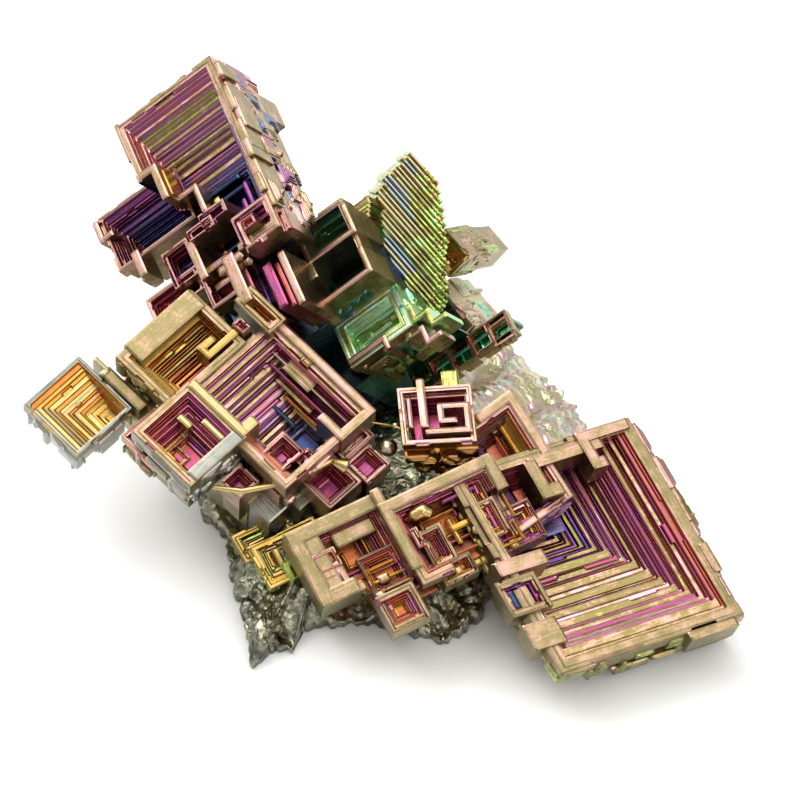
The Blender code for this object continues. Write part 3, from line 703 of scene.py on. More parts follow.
# Colours of the oxide as it thickens: bare metal, straw, gold, amber, red, magenta, purple, blue,
# teal, green, lime, then the second round's olive, tan and pink
filmColours = (
    (0.00, "#BAB8AE"), (0.08, "#CCC29C"), (0.16, "#CDB06C"), (0.24, "#B88E36"), (0.32, "#A66C2A"),
    (0.40, "#A05434"), (0.47, "#A0465C"), (0.54, "#884078"), (0.61, "#4C3274"), (0.68, "#222C5C"),
    (0.75, "#174A5C"), (0.81, "#268458"), (0.865, "#7CC67C"), (0.895, "#B4C458"), (0.915, "#867C46"),
    (0.955, "#867446"), (0.97, "#B2946E"), (1.00, "#D8A8AA"),
)
# The same film on the matt edges, where growth ran on last: soft tans, drawn towards grey
edgeColours = (
    (0.00, "#6C6E6A"), (0.04, "#8E8E82"), (0.10, "#B4AA86"), (0.25, "#AC945C"), (0.40, "#A47C60"),
    (0.55, "#A07C90"), (0.70, "#98A2BA"), (0.80, "#86BC9C"), (0.86, "#D4F2DA"), (0.895, "#BCCC74"),
    (0.915, "#827A52"), (0.95, "#928260"), (0.97, "#AA9270"), (1.00, "#C69A90"),
)
speckColours = ((0.34, "#A8A292"), (0.50, "#E2DED4"), (0.62, "#FFFFFF"))
drainedColours = (
    (0.30, "#34342C"), (0.42, "#747264"), (0.50, "#A09C86"), (0.58, "#6A6C5C"), (0.68, "#D0CAAC"),
)
creamColours = (
    (0.32, "#C9C39A"), (0.45, "#DCD3AE"), (0.53, "#D9B8B4"), (0.60, "#CFE0C8"), (0.70, "#E6DFC2"),
)


def oxidisedBismuth():
    # Bismuth, cast and left to grow in its own melt, under an oxide film a few hundred nanometres
    # thick: a metal whose colour is the film's, polished on its ledges and satin on its edges
    material, tree, place, film = bareMetal("oxidisedBismuth")
    dull = addNode(tree, "ShaderNodeAttribute", {"attribute_name": "dull"}).outputs["Fac"]
    # Patches where the film is thicker, and a finer mottle
    broad, fine = noise(tree, place, 1.6, 2.0), noise(tree, place, 0.35, 3.0)
    mottle = added(tree, scaled(tree, broad, 0.14, -0.07), scaled(tree, fine, 0.07, -0.035))
    # Growth lines, about 0.1 mm apart, run along the nearest edge of the crystal: noise over the
    # crystal's own (a, b, depth) in millimetres, drawn out along that edge
    grown = addNode(tree, "ShaderNodeAttribute", {"attribute_name": "grown"}).outputs["Vector"]
    turn = addNode(tree, "ShaderNodeAttribute", {"attribute_name": "turn"}).outputs["Fac"]
    alongB, alongA = [addNode(tree, "ShaderNodeVectorMath", {"operation": "MULTIPLY", 1: drawing},
                              {0: grown}).outputs[0] for drawing in ((7.0, 0.35, 7.0), (0.35, 7.0, 7.0))]
    drawn = addNode(tree, "ShaderNodeMix", {"data_type": "VECTOR"}, {0: turn, 4: alongB, 5: alongA})
    lines = addNode(tree, "ShaderNodeTexNoise", {"Scale": 1.0, "Detail": 2.0, "Roughness": 0.6},
                    {"Vector": drawn.outputs[1]}).outputs["Fac"]
    drift = added(tree, mottle, scaled(tree, lines, 0.14, -0.07))
    # The polished film drifts through more colours than the matt edges do, which are peppered with
    # dark specks
    bright = ramped(tree, filmColours, scaled(tree, drift, 0.9, film, True))
    matt = ramped(tree, edgeColours, scaled(tree, drift, 0.75, film, True))
    specks = ramped(tree, speckColours, noise(tree, place, 0.11, 2.0))
    peppered = addNode(tree, "ShaderNodeMix", {"data_type": "RGBA", "blend_type": "MULTIPLY", "Factor": 0.45},
                       {6: matt, 7: specks}).outputs[2]
    colour = addNode(tree, "ShaderNodeMix", {"data_type": "RGBA"}, {"Factor": dull, 6: bright, 7: peppered})
    # Growth lines and pits too small to model, about 0.15 mm across and 0.01 mm deep
    pits = added(tree, noise(tree, place, 0.15, 2.0), fine)
    roughness = scaled(tree, lines, 0.22, scaled(tree, dull, 0.16, 0.12))
    return finished(material, colour.outputs[2], roughness, scaled(tree, lines, 2.2, pits), 0.75, 0.014)


def meltSkinMetal():
    # Where the melt was poured off: the same metal, drained and dull, nearly bare of film in front
    # and under a pale cream film at the back
    material, tree, place, film = bareMetal("drainedMeltSkin")
    spots, fine = noise(tree, place, 2.2, 4.0), noise(tree, place, 0.4, 4.0)
    dark, pale = ramped(tree, drainedColours, spots), ramped(tree, creamColours, spots)
    colour = addNode(tree, "ShaderNodeMix", {"data_type": "RGBA"}, {"Factor": film, 6: dark, 7: pale})
    roughness = scaled(tree, fine, 0.35, 0.14)
    return finished(material, colour.outputs[2], roughness, added(tree, spots, fine), 0.8, 0.08)


oxide = oxidisedBismuth()
skinMetal = meltSkinMetal()
print("materials made")

# How the film lies on each kind of crystal, as places on the colour ramps: 0 is bare metal. dull is 0
# where it is polished and 1 where it is matt, and uneven how far one ledge may differ from its tone.
# ledges, between (the narrow ledges) and lips have a row for each wall, in the order a start, a end,
# b start, b end, read from the rim to the floor; risers have one for each way that they face. outer
# has (film, dull) for the four outer sides and the back. A tone without between or lips takes risers
# and ledges for them, and the rest of what it leaves out from plainTone.
# floor is the film on a pit's floor. Its default of 0.69, a dark navy, and the films of about 0.66 to 0.71
# that the deepest ledges of some walls take, are partly the oxide's blue and partly painted shade deep in the
# pits.
plainTone = {
    "uneven": 0.03, "dull": 0.3, "rimDull": 1.0, "betweenDull": 0.1, "riserDull": 0.12, "lipDull": 0.25,
    "floor": 0.69, "floorDull": 0.08,
}
tones = {
    "tower": {
        "rim": 0.965, "uneven": 0.015, "dull": 0.5, "riserDull": 0.2, "betweenDull": 0.4,
        "ledges": ((0.56, 0.62, 0.70), (0.99, 0.99, 0.45, 0.30),
                   (0.965, 0.955, 0.94, 0.935, 0.945, 0.935, 0.66, 0.69), (0.30, 0.20, 0.66)),
        "between": ((0.50, 0.58, 0.68), (0.99, 0.47, 0.40, 0.26),
                    (0.50, 0.52, 0.49, 0.945, 0.50, 0.54, 0.60, 0.66), (0.26, 0.22, 0.60)),
        "risers": ((0.50, 0.58, 0.68), (0.46, 0.48, 0.40), (0.50, 0.53, 0.51, 0.55, 0.53, 0.62, 0.70),
                   (0.32, 0.25, 0.50)),
        "lips": ((0.53, 0.60, 0.69), (1.0, 1.0, 0.30), (0.97, 0.50, 0.93, 0.52, 0.93, 0.55, 0.62, 0.69),
                 (0.25, 0.18, 0.60)),
        "outer": ((0.995, 0.45), (0.98, 0.7), (0.955, 0.9), (0.97, 0.8), (0.95, 0.7)),
    },
    "violet": {
        "rim": 0.98, "dull": 0.35, "betweenDull": 0.25,
        "ledges": ((0.60, 0.66), (0.99, 0.98, 0.46), (0.55, 0.56, 0.58, 0.64, 0.69, 0.71), (0.45, 0.64)),
        "risers": ((0.54, 0.62), (0.47, 0.45), (0.53, 0.55, 0.60, 0.67, 0.70), (0.50, 0.64)),
        "outer": ((0.60, 0.3), (0.99, 0.7), (0.97, 0.8), (0.98, 0.7), (0.96, 0.7)),
    },
    "dusk": {
        "rim": 0.985, "uneven": 0.05,
        "ledges": ((0.66, 0.70), (0.97, 0.54), (0.97, 0.50, 0.56), (0.58, 0.68)),
        "risers": ((0.60, 0.68), (0.50, 0.56), (0.48, 0.52, 0.60), (0.54, 0.66)),
        "outer": ((0.97, 0.6), (0.98, 0.7), (0.97, 0.8), (0.97, 0.7), (0.68, 0.4)),
    },
    "teal": {
        "rim": 0.975, "uneven": 0.02, "dull": 0.6, "betweenDull": 0.4, "riserDull": 0.4, "floor": 0.76,
        "ledges": ((0.72, 0.78), (0.78, 0.80), (0.80, 0.82, 0.79), (0.62, 0.76)),
        "risers": ((0.68, 0.76), (0.74, 0.77), (0.75, 0.80, 0.76), (0.58, 0.70)),
        "outer": ((0.93, 0.15), (0.75, 0.4), (0.97, 0.8), (0.74, 0.3), (0.72, 0.3)),
    },
    "mint": {
        "rim": 0.865, "uneven": 0.012, "dull": 0.85, "floor": 0.86, "lipDull": 0.9, "betweenDull": 0.6,
        "riserDull": 0.5,
        "ledges": ((0.86, 0.86), (0.86, 0.865), (0.86, 0.855, 0.895, 0.86), (0.86, 0.86)),
        "between": ((0.84, 0.85), (0.84, 0.85), (0.84, 0.85, 0.90, 0.84), (0.97, 0.85)),
        "risers": ((0.84, 0.86), (0.83, 0.85), (0.83, 0.86, 0.84), (0.90, 0.84)),
        "outer": ((0.87, 0.7), (0.88, 0.7), (0.86, 0.7), (0.96, 0.4), (0.80, 0.4)),
    },
    "moss": {
        "rim": 0.985, "uneven": 0.05, "floor": 0.80,
        "ledges": ((0.93, 0.86), (0.95, 0.78), (0.93, 0.40), (0.92, 0.80)),
        "risers": ((0.93, 0.82), (0.40, 0.78), (0.95, 0.80), (0.93, 0.76)),
        "outer": ((0.94, 0.3), (0.95, 0.5), (0.93, 0.4), (0.94, 0.3), (0.93, 0.3)),
    },
    "straw": {
        "rim": 0.95, "uneven": 0.02, "dull": 0.4, "floor": 0.40,
        "ledges": ((0.945, 0.24, 0.94, 0.30), (0.24, 0.48), (0.27, 0.30, 0.44), (0.22, 0.30)),
        "between": ((0.26, 0.34, 0.22, 0.40), (0.30, 0.50), (0.30, 0.40, 0.50), (0.20, 0.34)),
        "lips": ((0.18, 0.22, 0.20), (0.20, 0.30), (0.18, 0.22), (0.18, 0.24)),
        "risers": ((0.22, 0.30, 0.40), (0.32, 0.50), (0.30, 0.40, 0.50), (0.20, 0.34)),
        "outer": ((0.95, 0.9), (0.97, 0.7), (0.95, 0.8), (0.94, 0.9), (0.95, 0.7)),
    },
    "pewter": {
        "rim": 0.02, "uneven": 0.02, "dull": 0.5, "rimDull": 0.9, "floor": 0.26,
        "ledges": ((0.945, 0.26, 0.95, 0.28), (0.22, 0.26, 0.20), (0.28, 0.32, 0.24), (0.19, 0.22, 0.18)),
        "between": ((0.34, 0.30, 0.36, 0.28), (0.28, 0.22), (0.34, 0.28), (0.28, 0.22)),
        "lips": ((0.18, 0.16), (0.12, 0.10), (0.20, 0.16), (0.08, 0.10)),
        "risers": ((0.26, 0.30, 0.20), (0.14, 0.18), (0.22, 0.30), (0.16, 0.20)),
        "outer": ((0.06, 0.8), (0.01, 0.8), (0.20, 0.8), (0.01, 0.8), (0.10, 0.7)),
    },
    "plum": {
        "rim": 0.965, "uneven": 0.02, "dull": 0.45, "riserDull": 0.2, "betweenDull": 0.35,
        "ledges": ((0.50, 0.94, 0.95, 0.945, 0.96, 0.71), (0.45, 0.70), (0.99, 0.50, 0.70),
                   (0.97, 0.40, 0.71)),
        "between": ((0.97, 0.52, 0.55, 0.50, 0.40, 0.72), (0.97, 0.70), (0.46, 0.53, 0.70), (0.45, 0.70)),
        "lips": ((0.99, 0.53, 0.97, 0.55, 0.60, 0.66), (0.99, 0.55), (1.0, 0.52, 0.60), (0.99, 0.47)),
        "risers": ((0.48, 0.53, 0.56, 0.62, 0.66), (0.45, 0.50, 0.56), (0.47, 0.53, 0.62), (0.44, 0.50)),
        "outer": ((0.95, 0.9), (0.99, 0.7), (0.98, 0.7), (0.95, 0.7), (0.95, 0.7)),
    },
    "bronze": {
        "rim": 0.96, "uneven": 0.04, "dull": 0.35, "floor": 0.48,
        "ledges": ((0.42, 0.50, 0.34), (0.30, 0.42), (0.50, 0.46, 0.56), (0.28, 0.22, 0.34)),
        "risers": ((0.44, 0.52), (0.36, 0.46), (0.50, 0.55), (0.28, 0.24)),
        "outer": ((0.97, 0.8), (0.06, 0.8), (0.97, 0.8), (0.02, 0.7), (0.95, 0.6)),
    },
    "rose": {
        "rim": 0.995, "uneven": 0.04, "dull": 0.35, "floor": 0.50,
        "ledges": ((0.98, 0.47), (0.96, 0.50), (0.99, 0.46, 0.42), (0.97, 0.48)),
        "risers": ((0.46, 0.48), (0.48, 0.52), (0.45, 0.42), (0.47, 0.50)),
        "outer": ((0.98, 0.7), (0.97, 0.7), (0.99, 0.8), (0.97, 0.7), (0.95, 0.6)),
    },
    "amber": {
        "rim": 0.955, "dull": 0.15, "floor": 0.38,
        "ledges": ((0.94, 0.46, 0.40, 0.48), (0.42, 0.48, 0.38), (0.50, 0.55, 0.42), (0.44, 0.54, 0.40)),
        "between": ((0.50, 0.28, 0.30), (0.26, 0.30), (0.34, 0.26), (0.30, 0.26)),
        "lips": ((0.97, 0.24, 0.22), (0.20, 0.22, 0.24), (0.30, 0.24, 0.26), (0.24, 0.30)),
        "risers": ((0.50, 0.44, 0.40), (0.30, 0.24), (0.52, 0.46, 0.34), (0.44, 0.36)),
        "outer": ((0.95, 0.9), (0.20, 0.5), (0.96, 0.8), (0.95, 0.7), (0.93, 0.6)),
    },
    "shell": {
        "rim": 0.985, "dull": 0.7, "rimDull": 0.75, "floor": 0.50,
        "ledges": ((0.99, 0.08), (0.99, 0.97), (0.99, 0.52), (0.99, 0.08)),
        "risers": ((0.98, 0.53), (0.97, 0.54), (0.99, 0.50), (0.98, 0.54)),
        "outer": ((0.97, 0.5), (0.32, 0.2), (0.10, 0.7), (0.33, 0.2), (0.32, 0.3)),
    },
    "ember": {
        "rim": 0.98, "floor": 0.42,
        "ledges": ((0.47, 0.96, 0.40), (0.52, 0.44), (0.40, 0.30, 0.24, 0.26), (0.95, 0.56, 0.62)),
        "risers": ((0.46, 0.52), (0.50, 0.46), (0.44, 0.32, 0.24), (0.50, 0.56)),
        "outer": ((0.97, 0.8), (0.60, 0.3), (0.98, 0.8), (0.96, 0.5), (0.95, 0.6)),
    },
    "sunset": {
        "rim": 0.945, "uneven": 0.015, "betweenDull": 0.08,
        "ledges": ((0.50, 0.60), (0.965, 0.95, 0.945, 0.955, 0.945, 0.955),
                   (0.42, 0.42, 0.955, 0.945, 0.45, 0.955, 0.93, 0.95, 0.94, 0.925, 0.93, 0.71),
                   (0.97, 0.96)),
        "between": ((0.47, 0.55), (0.97, 0.50, 0.975, 0.49, 0.58, 0.30),
                    (0.42, 0.46, 0.50, 0.52, 0.54, 0.60, 0.66), (0.99, 0.46)),
        "risers": ((0.46, 0.58), (0.98, 0.97, 0.51, 0.98, 0.50, 0.40), (0.42, 0.47, 0.50, 0.54, 0.60, 0.66),
                   (0.99, 0.46)),
        "lips": ((0.50, 0.60), (0.97, 0.99, 0.98, 0.99, 0.97, 0.50), (0.30, 0.45, 0.50, 0.52, 0.54, 0.62),
                 (1.0, 0.99)),
        # The outer sides at the a end and b end, the bottom and the left, take a darker olive film: partly
        # oxide colour, partly painted shade on the faces turned from the light.
        "outer": ((0.97, 0.8), (0.935, 0.7), (0.98, 0.8), (0.935, 0.7), (0.95, 0.6)),
    },
    "cream": {
        "rim": 0.10, "dull": 0.8, "floor": 0.86,
        "ledges": ((0.10, 0.99), (0.08, 0.86), (0.99, 0.10), (0.10, 0.70)),
        "risers": ((0.99, 0.98), (0.97, 0.88), (0.99, 0.98), (0.98, 0.88)),
        "outer": ((0.10, 0.8), (0.99, 0.7), (0.10, 0.8), (0.86, 0.7), (0.10, 0.7)),
    },
    "lime": {
        "rim": 0.205, "rimDull": 0.2, "uneven": 0.02, "dull": 0.2, "floor": 0.24,
        "ledges": ((0.90, 0.22), (0.22, 0.90), (0.895, 0.24), (0.89, 0.20)),
        "risers": ((0.92, 0.94), (0.20, 0.93), (0.92, 0.94), (0.93, 0.16)),
        "outer": ((0.93, 0.5), (0.92, 0.5), (0.93, 0.5), (0.93, 0.5), (0.93, 0.5)),
    },
}

# The tall hopper at the upper left
tower = {
    "way": "tower", "seed": 101,
    "hoppers": (
        {"corner": (-19.3, 34.8, -6.0), "far": (-21.5, 10.9), "steps": 29, "rim": 0.9, "depth": 6.0,
         "runs": (2.8, 2.8, 10.2, 2.4), "body": 8.5, "terraces": 6, "tapers": (0.7, 3.0, 0.4, 1.2),
         "bites": ((10.9, 12.8, 7.6, 21.6, 7.7), (8.1, 10.9, 11.6, 21.6, 7.7), (5.7, 8.1, 16.9, 21.6, 7.7)),
         "jogs": 14, "chips": 10, "tone": "tower"},
    ),
    "small": (
        (0, (-13.4, 20.6), (-15.5, 14.8), 0.9, 2.4, (0.4, 0.4, 0.8, 0.3), 4, 0.75, 5.0, "dusk"),
        (0, (-11.6, 19.2), (-11.5, 16.6), 0.3, 1.0, (0.2, 0.2, 0.2, 0.2), 2, 0.5, 5.0, "rose"),
        (0, (-14.7, 18.7), (-15.6, 16.8), 1.4, 0.6, (0.1, 0.1, 0.1, 0.1), 2, 0.35, 4.0, "rose"),
        (0, (-17.8, 20.2), (-19.8, 17.2), 0.8, 1.5, (0.3, 0.3, 0.4, 0.2), 3, 0.45, 9.4, "dusk"),
        (0, (-19.0, 18.6), (-21.0, 15.8), 0.7, 1.4, (0.3, 0.3, 0.4, 0.2), 3, 0.45, 9.2, "rose"),
    ),
    "bars": (
        (0, ((-18.6, 34.0), (-18.0, 32.6)), 0.7, 0.2, 3.0, 0.97),
        (0, ((-17.6, 31.6), (-16.4, 29.2)), 0.8, 0.35, 3.0, 0.965),
        (0, ((-16.9, 30.4), (-15.6, 27.4)), 0.7, 0.15, 3.0, 0.975),
        (0, ((-16.2, 28.0), (-15.0, 25.2)), 1.0, 0.55, 3.0, 0.96),
        (0, ((-15.2, 26.0), (-14.4, 24.2)), 0.7, 0.9, 3.0, 0.98),
        (0, ((-14.9, 24.4), (-12.6, 19.2)), 1.0, 0.4, 3.5, 0.97),
        (0, ((-14.0, 22.4), (-13.3, 20.6)), 0.8, 0.8, 3.5, 0.955),
        (0, ((-26.1, 22.4), (-24.8, 23.4), (-23.4, 20.2)), 0.8, 0.4, 3.0, 0.97),
        (0, ((-23.6, 20.4), (-21.5, 21.9), (-20.4, 19.4)), 0.6, -1.4, 7.0, 0.98, 0.7),
        (0, ((-24.4, 23.4), (-23.2, 20.9)), 0.35, -0.5, 2.8, 0.30, 0.2),
        (0, ((-21.8, 21.6), (-20.4, 19.2)), 1.0, -3.4, 5.5, 0.20, 0.1),
        (0, ((-20.2, 21.2), (-19.4, 19.6)), 0.7, -3.0, 5.5, 0.17, 0.1),
    ),
    "spirals": ((0, (3.9, 11.3), (8.8, 17.8), 8, 0.5, 1.0, -3.8, 6.2, (0.69, 0.38, 0.70, 0.56), 0.1),),
    "tops": ((0, (-19.9, 34.1), (-26.6, 19.6), -7.2, 11.0, 0.98, 0.6),
             (0, (-19.9, 34.1), (-27.6, 25.4), -7.6, 13.6, 0.98, 0.6)),
    "crusts": (
        (0, 0, 20, (0.03, 0.6), (0.3, 3.0), 0.5, (1.0, 0.55, 1.0, 0.995), 4.0),
        (0, 0, 26, (0.02, 0.98), (1.0, 6.5), 0.65, (1.0, 0.71, 0.99, 0.56), 2.0),
        (0, 0, 12, (0.50, 1.0), (0.2, 6.0), 0.9, (0.965, 0.99, 0.945), 1.6),
        (0, 3, 6, (0.1, 0.9), (0.3, 4.0), 0.3, 0.97),
    ),
}
grow("towerHopper", tower)

# The second hopper, tucked behind the tower's lower left edge
leftHopper = {
    "way": "tower", "seed": 151,
    "hoppers": (
        {"corner": (-23.0, 24.0, -8.5), "far": (-28.4, 12.9), "steps": 19, "rim": 0.5, "depth": 4.5,
         "runs": (1.0, 1.6, 3.4, 0.8), "body": 9.0, "terraces": 5, "tapers": (1.0, 1.6, 1.0, 1.0),
         "jogs": 8, "chips": 5, "tone": "violet"},
    ),
    "bars": (
        (0, ((-31.0, 18.0), (-30.2, 16.2), (-29.0, 16.9)), 0.6, 0.3, 2.0, 0.99, 0.8),
        (0, ((-26.8, 15.0), (-25.4, 12.8)), 0.9, 0.3, 3.0, 0.98, 0.8),
    ),
    "crusts": ((0, 1, 8, (0.1, 0.95), (0.2, 5.0), 0.25, 0.99),),
}
grow("leftHopper", leftHopper)

# Small frames, posts and boxes below the tower
stairFrames = {
    "way": "tower", "seed": 171,
    "hoppers": (
        {"corner": (-21.5, 16.4, -2.5), "far": (-22.5, 11.0), "steps": 5, "rim": 0.55, "depth": 2.6,
         "runs": (0.3, 0.3, 0.6, 0.3), "body": 8.0, "tapers": (0.5, 0.5, 0.5, 0.5), "tone": "dusk",
         "twist": 1.0, "jogs": 3},
        {"corner": (-20.6, 13.6, -2.0), "far": (-24.6, 7.6), "steps": 8, "rim": 0.5, "depth": 3.0,
         "runs": (0.5, 0.5, 1.4, 0.5), "body": 9.0, "tapers": (0.6, 0.6, 0.6, 0.6), "tone": "rose"},
        {"corner": (-17.4, 14.6, 0.5), "far": (-18.6, 9.0), "steps": 5, "rim": 0.5, "depth": 3.0,
         "runs": (0.4, 0.4, 0.4, 0.4), "body": 7.0, "tone": "rose", "jogs": 3},
    ),
    "bars": (
        (0, ((-20.7, 15.6), (-19.8, 11.4)), 0.9, 0.9, 6.0, 0.98),
        (2, ((-17.2, 14.4), (-15.4, 9.4)), 1.4, 0.4, 7.0, 0.985),
        (2, ((-19.4, 12.9), (-17.2, 14.3)), 0.7, 0.0, 7.0, 0.98),
        (2, ((-18.7, 11.3), (-16.6, 12.8)), 0.7, -0.4, 7.0, 0.98, 0.8),
        (2, ((-13.9, 13.8), (-11.9, 9.6)), 1.1, -0.8, 7.0, 0.50, 0.1),
        (2, ((-13.0, 14.0), (-11.0, 9.8)), 0.6, -1.1, 7.0, 0.44, 0.1),
        (2, ((-12.0, 14.8), (-9.8, 9.6)), 0.8, 0.0, 7.0, 0.985, 0.7),
        (2, ((-16.0, 13.4), (-14.2, 12.0)), 0.4, -0.8, 7.0, 0.47, 0.3),
        (2, ((-15.6, 12.4), (-13.8, 11.0)), 0.4, -1.2, 7.0, 0.50, 0.3),
        (2, ((-15.2, 11.4), (-13.6, 10.0)), 0.4, -1.6, 7.0, 0.46, 0.3),
    ),
    "solids": (((-13.6, 14.2, -2.0), (-16.5, 7.0), 0.0, 8.0, 0.70, 0.3),),
    "crusts": ((1, 3, 7, (0.05, 0.95), (0.3, 4.0), 0.3, 0.98),),
}
grow("stairFrames", stairFrames)

# The open frame in the middle of the upper half, with a square-cornered bar wound into it
tealFrame = {
    "way": "tower", "seed": 191,
    "hoppers": (
        {"corner": (-6.0, 20.3, -0.5), "far": (-9.0, 8.2), "steps": 10, "rim": 0.6, "depth": 5.5,
         "runs": (0.8, 1.0, 1.8, 1.0), "body": 9.0,
         "jogs": 8, "tone": "teal"},
    ),
    "bars": (
        (0, ((-12.2, 15.4), (-9.0, 8.2)), 1.0, 0.4, 5.0, 0.97),
        (0, ((-14.3, 14.2), (-11.2, 8.0)), 1.0, 2.5, 5.0, 0.49, 0.25),
        (0, ((-10.2, 16.8), (-8.6, 13.9), (-4.6, 17.2), (-5.8, 19.4)), 0.6, 0.5, 5.0, 0.975),
        (0, ((-9.0, 8.4), (-2.9, 13.1), (-4.0, 15.0)), 0.6, 0.6, 4.0, 0.975),
        (0, ((-9.2, 13.6), (-8.0, 12.4)), 1.1, 0.3, 3.0, 0.10, 0.6),
        (0, ((-13.6, 13.4), (-10.8, 8.4)), 0.35, 2.7, 4.0, 0.60, 0.1),
    ),
    "solids": (
        ((-10.0, 14.0, -4.0), (-15.0, 2.0), 0.0, 8.0, 0.76, 0.3),
        ((-4.0, 10.0, -5.5), (-12.0, -2.0), 0.0, 9.0, 0.74, 0.3),
    ),
    "crusts": ((0, 3, 8, (0.05, 0.95), (0.5, 5.0), 0.4, 0.76),),
}
grow("tealFrame", tealFrame)

# The green hopper with a thick pale edge, and the row of dark little crystals beside it
greenHopper = {
    "way": "tower", "seed": 211,
    "hoppers": (
        {"corner": (-0.8, 11.9, 1.0), "far": (-4.9, 3.1), "steps": 13, "rim": 1.2, "depth": 2.2,
         "runs": (0.3, 0.3, 2.2, 0.4), "body": 8.0, "terraces": 5, "tapers": (0.8, 0.8, 0.8, 1.4),
         "jogs": 5, "tone": "mint"},
        {"corner": (10.6, 8.6, -3.0), "far": (9.6, 5.2), "steps": 3, "rim": 0.35, "depth": 1.0,
         "runs": (0.2, 0.2, 0.3, 0.2), "body": 2.6, "tone": "moss", "jogs": 2},
    ),
    "small": tuple(
        (1, (10.4 - 1.9 * k, 9.2 - 1.35 * k), (9.4 - 1.9 * k, 5.8 - 1.35 * k), 0.4 * (k % 2), 1.4,
         (0.25, 0.25, 0.3, 0.2), 4, 0.35, 2.6, "moss") for k in range(5)
    ),
    "bars": (
        (0, ((-5.0, 3.6), (-1.6, 6.4), (-1.0, 5.0)), 0.6, 0.5, 3.0, 0.99, 0.8),
        (0, ((-1.4, 8.2), (0.4, 9.6), (1.0, 8.2), (2.2, 9.2), (2.8, 7.8), (4.2, 8.8)), 0.6, -0.6, 4.0,
         0.89, 0.6),
        (0, ((-0.2, 6.4), (1.4, 7.6), (2.0, 6.2), (3.4, 7.2)), 0.6, -1.2, 4.0, 0.99, 0.8),
    ),
    "solids": (
        ((4.6, 7.8, -1.0), (-4.6, 1.4), 0.0, 8.0, 0.80, 0.3),
        ((10.6, 8.6, -3.0), (2.6, 2.4), -0.4, 3.4, 0.80, 0.3),
    ),
    "crusts": (
        (0, 3, 12, (0.02, 0.98), (0.3, 5.0), 0.35, 0.93),
        (0, 0, 8, (0.05, 0.95), (0.3, 5.0), 0.3, 0.86),
    ),
}
grow("greenHopper", greenHopper)

# The big central hopper, with the box, the square and the hook that share its direction
centreHopper = {
    "way": "middle", "seed": 241,
    "hoppers": (
        {"corner": (-12.8, 8.2, 3.0), "far": (-11.3, -8.9), "steps": 25, "rim": 0.9, "depth": 7.0,
         "runs": (8.4, 1.6, 3.4, 3.0), "body": 11.0, "terraces": 5, "tapers": (1.5, 1.5, 1.5, 1.5),
         "jogs": 14, "tone": "plum"},
        {"corner": (-20.7, 11.0, 3.0), "far": (-22.7, -0.9), "steps": 17, "rim": 0.9, "depth": 5.0,
         "runs": (4.4, 0.6, 1.0, 2.6), "body": 10.0, "tapers": (1.4, 1.0, 1.0, 1.0),
         "tone": "straw"},
    ),
    "small": (
        (0, (-14.8, 11.5), (-13.0, 6.6), 1.6, 2.4, (0.5, 0.5, 0.6, 0.5), 5, 0.8, 6.0, "straw"),
        (0, (-15.9, 8.3), (-15.6, 6.6), 1.8, 1.0, (0.2, 0.2, 0.2, 0.2), 2, 0.35, 8.0, "rose"),
        (0, (-9.0, 5.0), (-9.2, 3.2), 0.2, 0.5, (0.15, 0.15, 0.15, 0.15), 2, 0.3, 4.0, "straw"),
    ),
    "bars": (
        (0, ((-12.6, 8.0), (-2.9, -1.0), (-5.8, -3.6), (-7.9, -1.6)), 0.9, 0.5, 4.0, 0.975),
        (0, ((-10.8, 4.4), (-8.0, 2.2)), 2.4, -1.2, 4.0, 0.955, 0.8),
        (1, ((-20.2, 10.2), (-26.2, 4.2)), 2.4, 0.3, 8.0, 0.945, 0.9),
        (1, ((-16.2, 6.8), (-18.6, 4.0), (-19.7, 5.0), (-18.6, 6.2)), 0.7, 0.5, 3.0, 0.25, 0.8),
        (0, ((-12.4, 6.0), (-4.4, -1.4)), 0.30, -0.3, 4.0, 0.47, 0.1),
        (0, ((-12.6, 5.2), (-5.2, -1.8)), 0.25, -1.1, 4.0, 0.98, 0.4),
        (0, ((-12.9, 4.4), (-6.0, -2.2)), 0.30, -1.9, 5.0, 0.50, 0.1),
        (0, ((-12.2, 3.2), (-8.8, -0.2)), 0.5, -3.0, 5.8, 0.96, 0.3),
        (0, ((-11.4, 1.8), (-8.2, -1.4)), 0.4, -3.8, 5.8, 0.36, 0.1),
        (0, ((-13.6, 2.0), (-10.4, -1.2)), 0.4, -4.4, 6.6, 0.72, 0.1),
        (0, ((-10.4, 0.6), (-7.8, -2.0)), 0.35, -4.2, 6.6, 0.95, 0.3),
    ),
    "solids": (((-14.8, 8.2, -3.6), (-13.0, -12.0), -0.9, 11.0, 0.0, 0.5),),
    "crusts": (
        (0, 2, 12, (0.02, 0.98), (0.3, 5.0), 0.4, 0.98),
        (0, 1, 10, (0.05, 0.95), (0.4, 5.0), 0.3, 0.99),
        (1, 3, 8, (0.05, 0.9), (0.3, 4.0), 0.25, 0.95),
        (1, 0, 6, (0.05, 0.9), (0.3, 4.0), 0.2, 0.95),
    ),
}
grow("centreHopper", centreHopper)

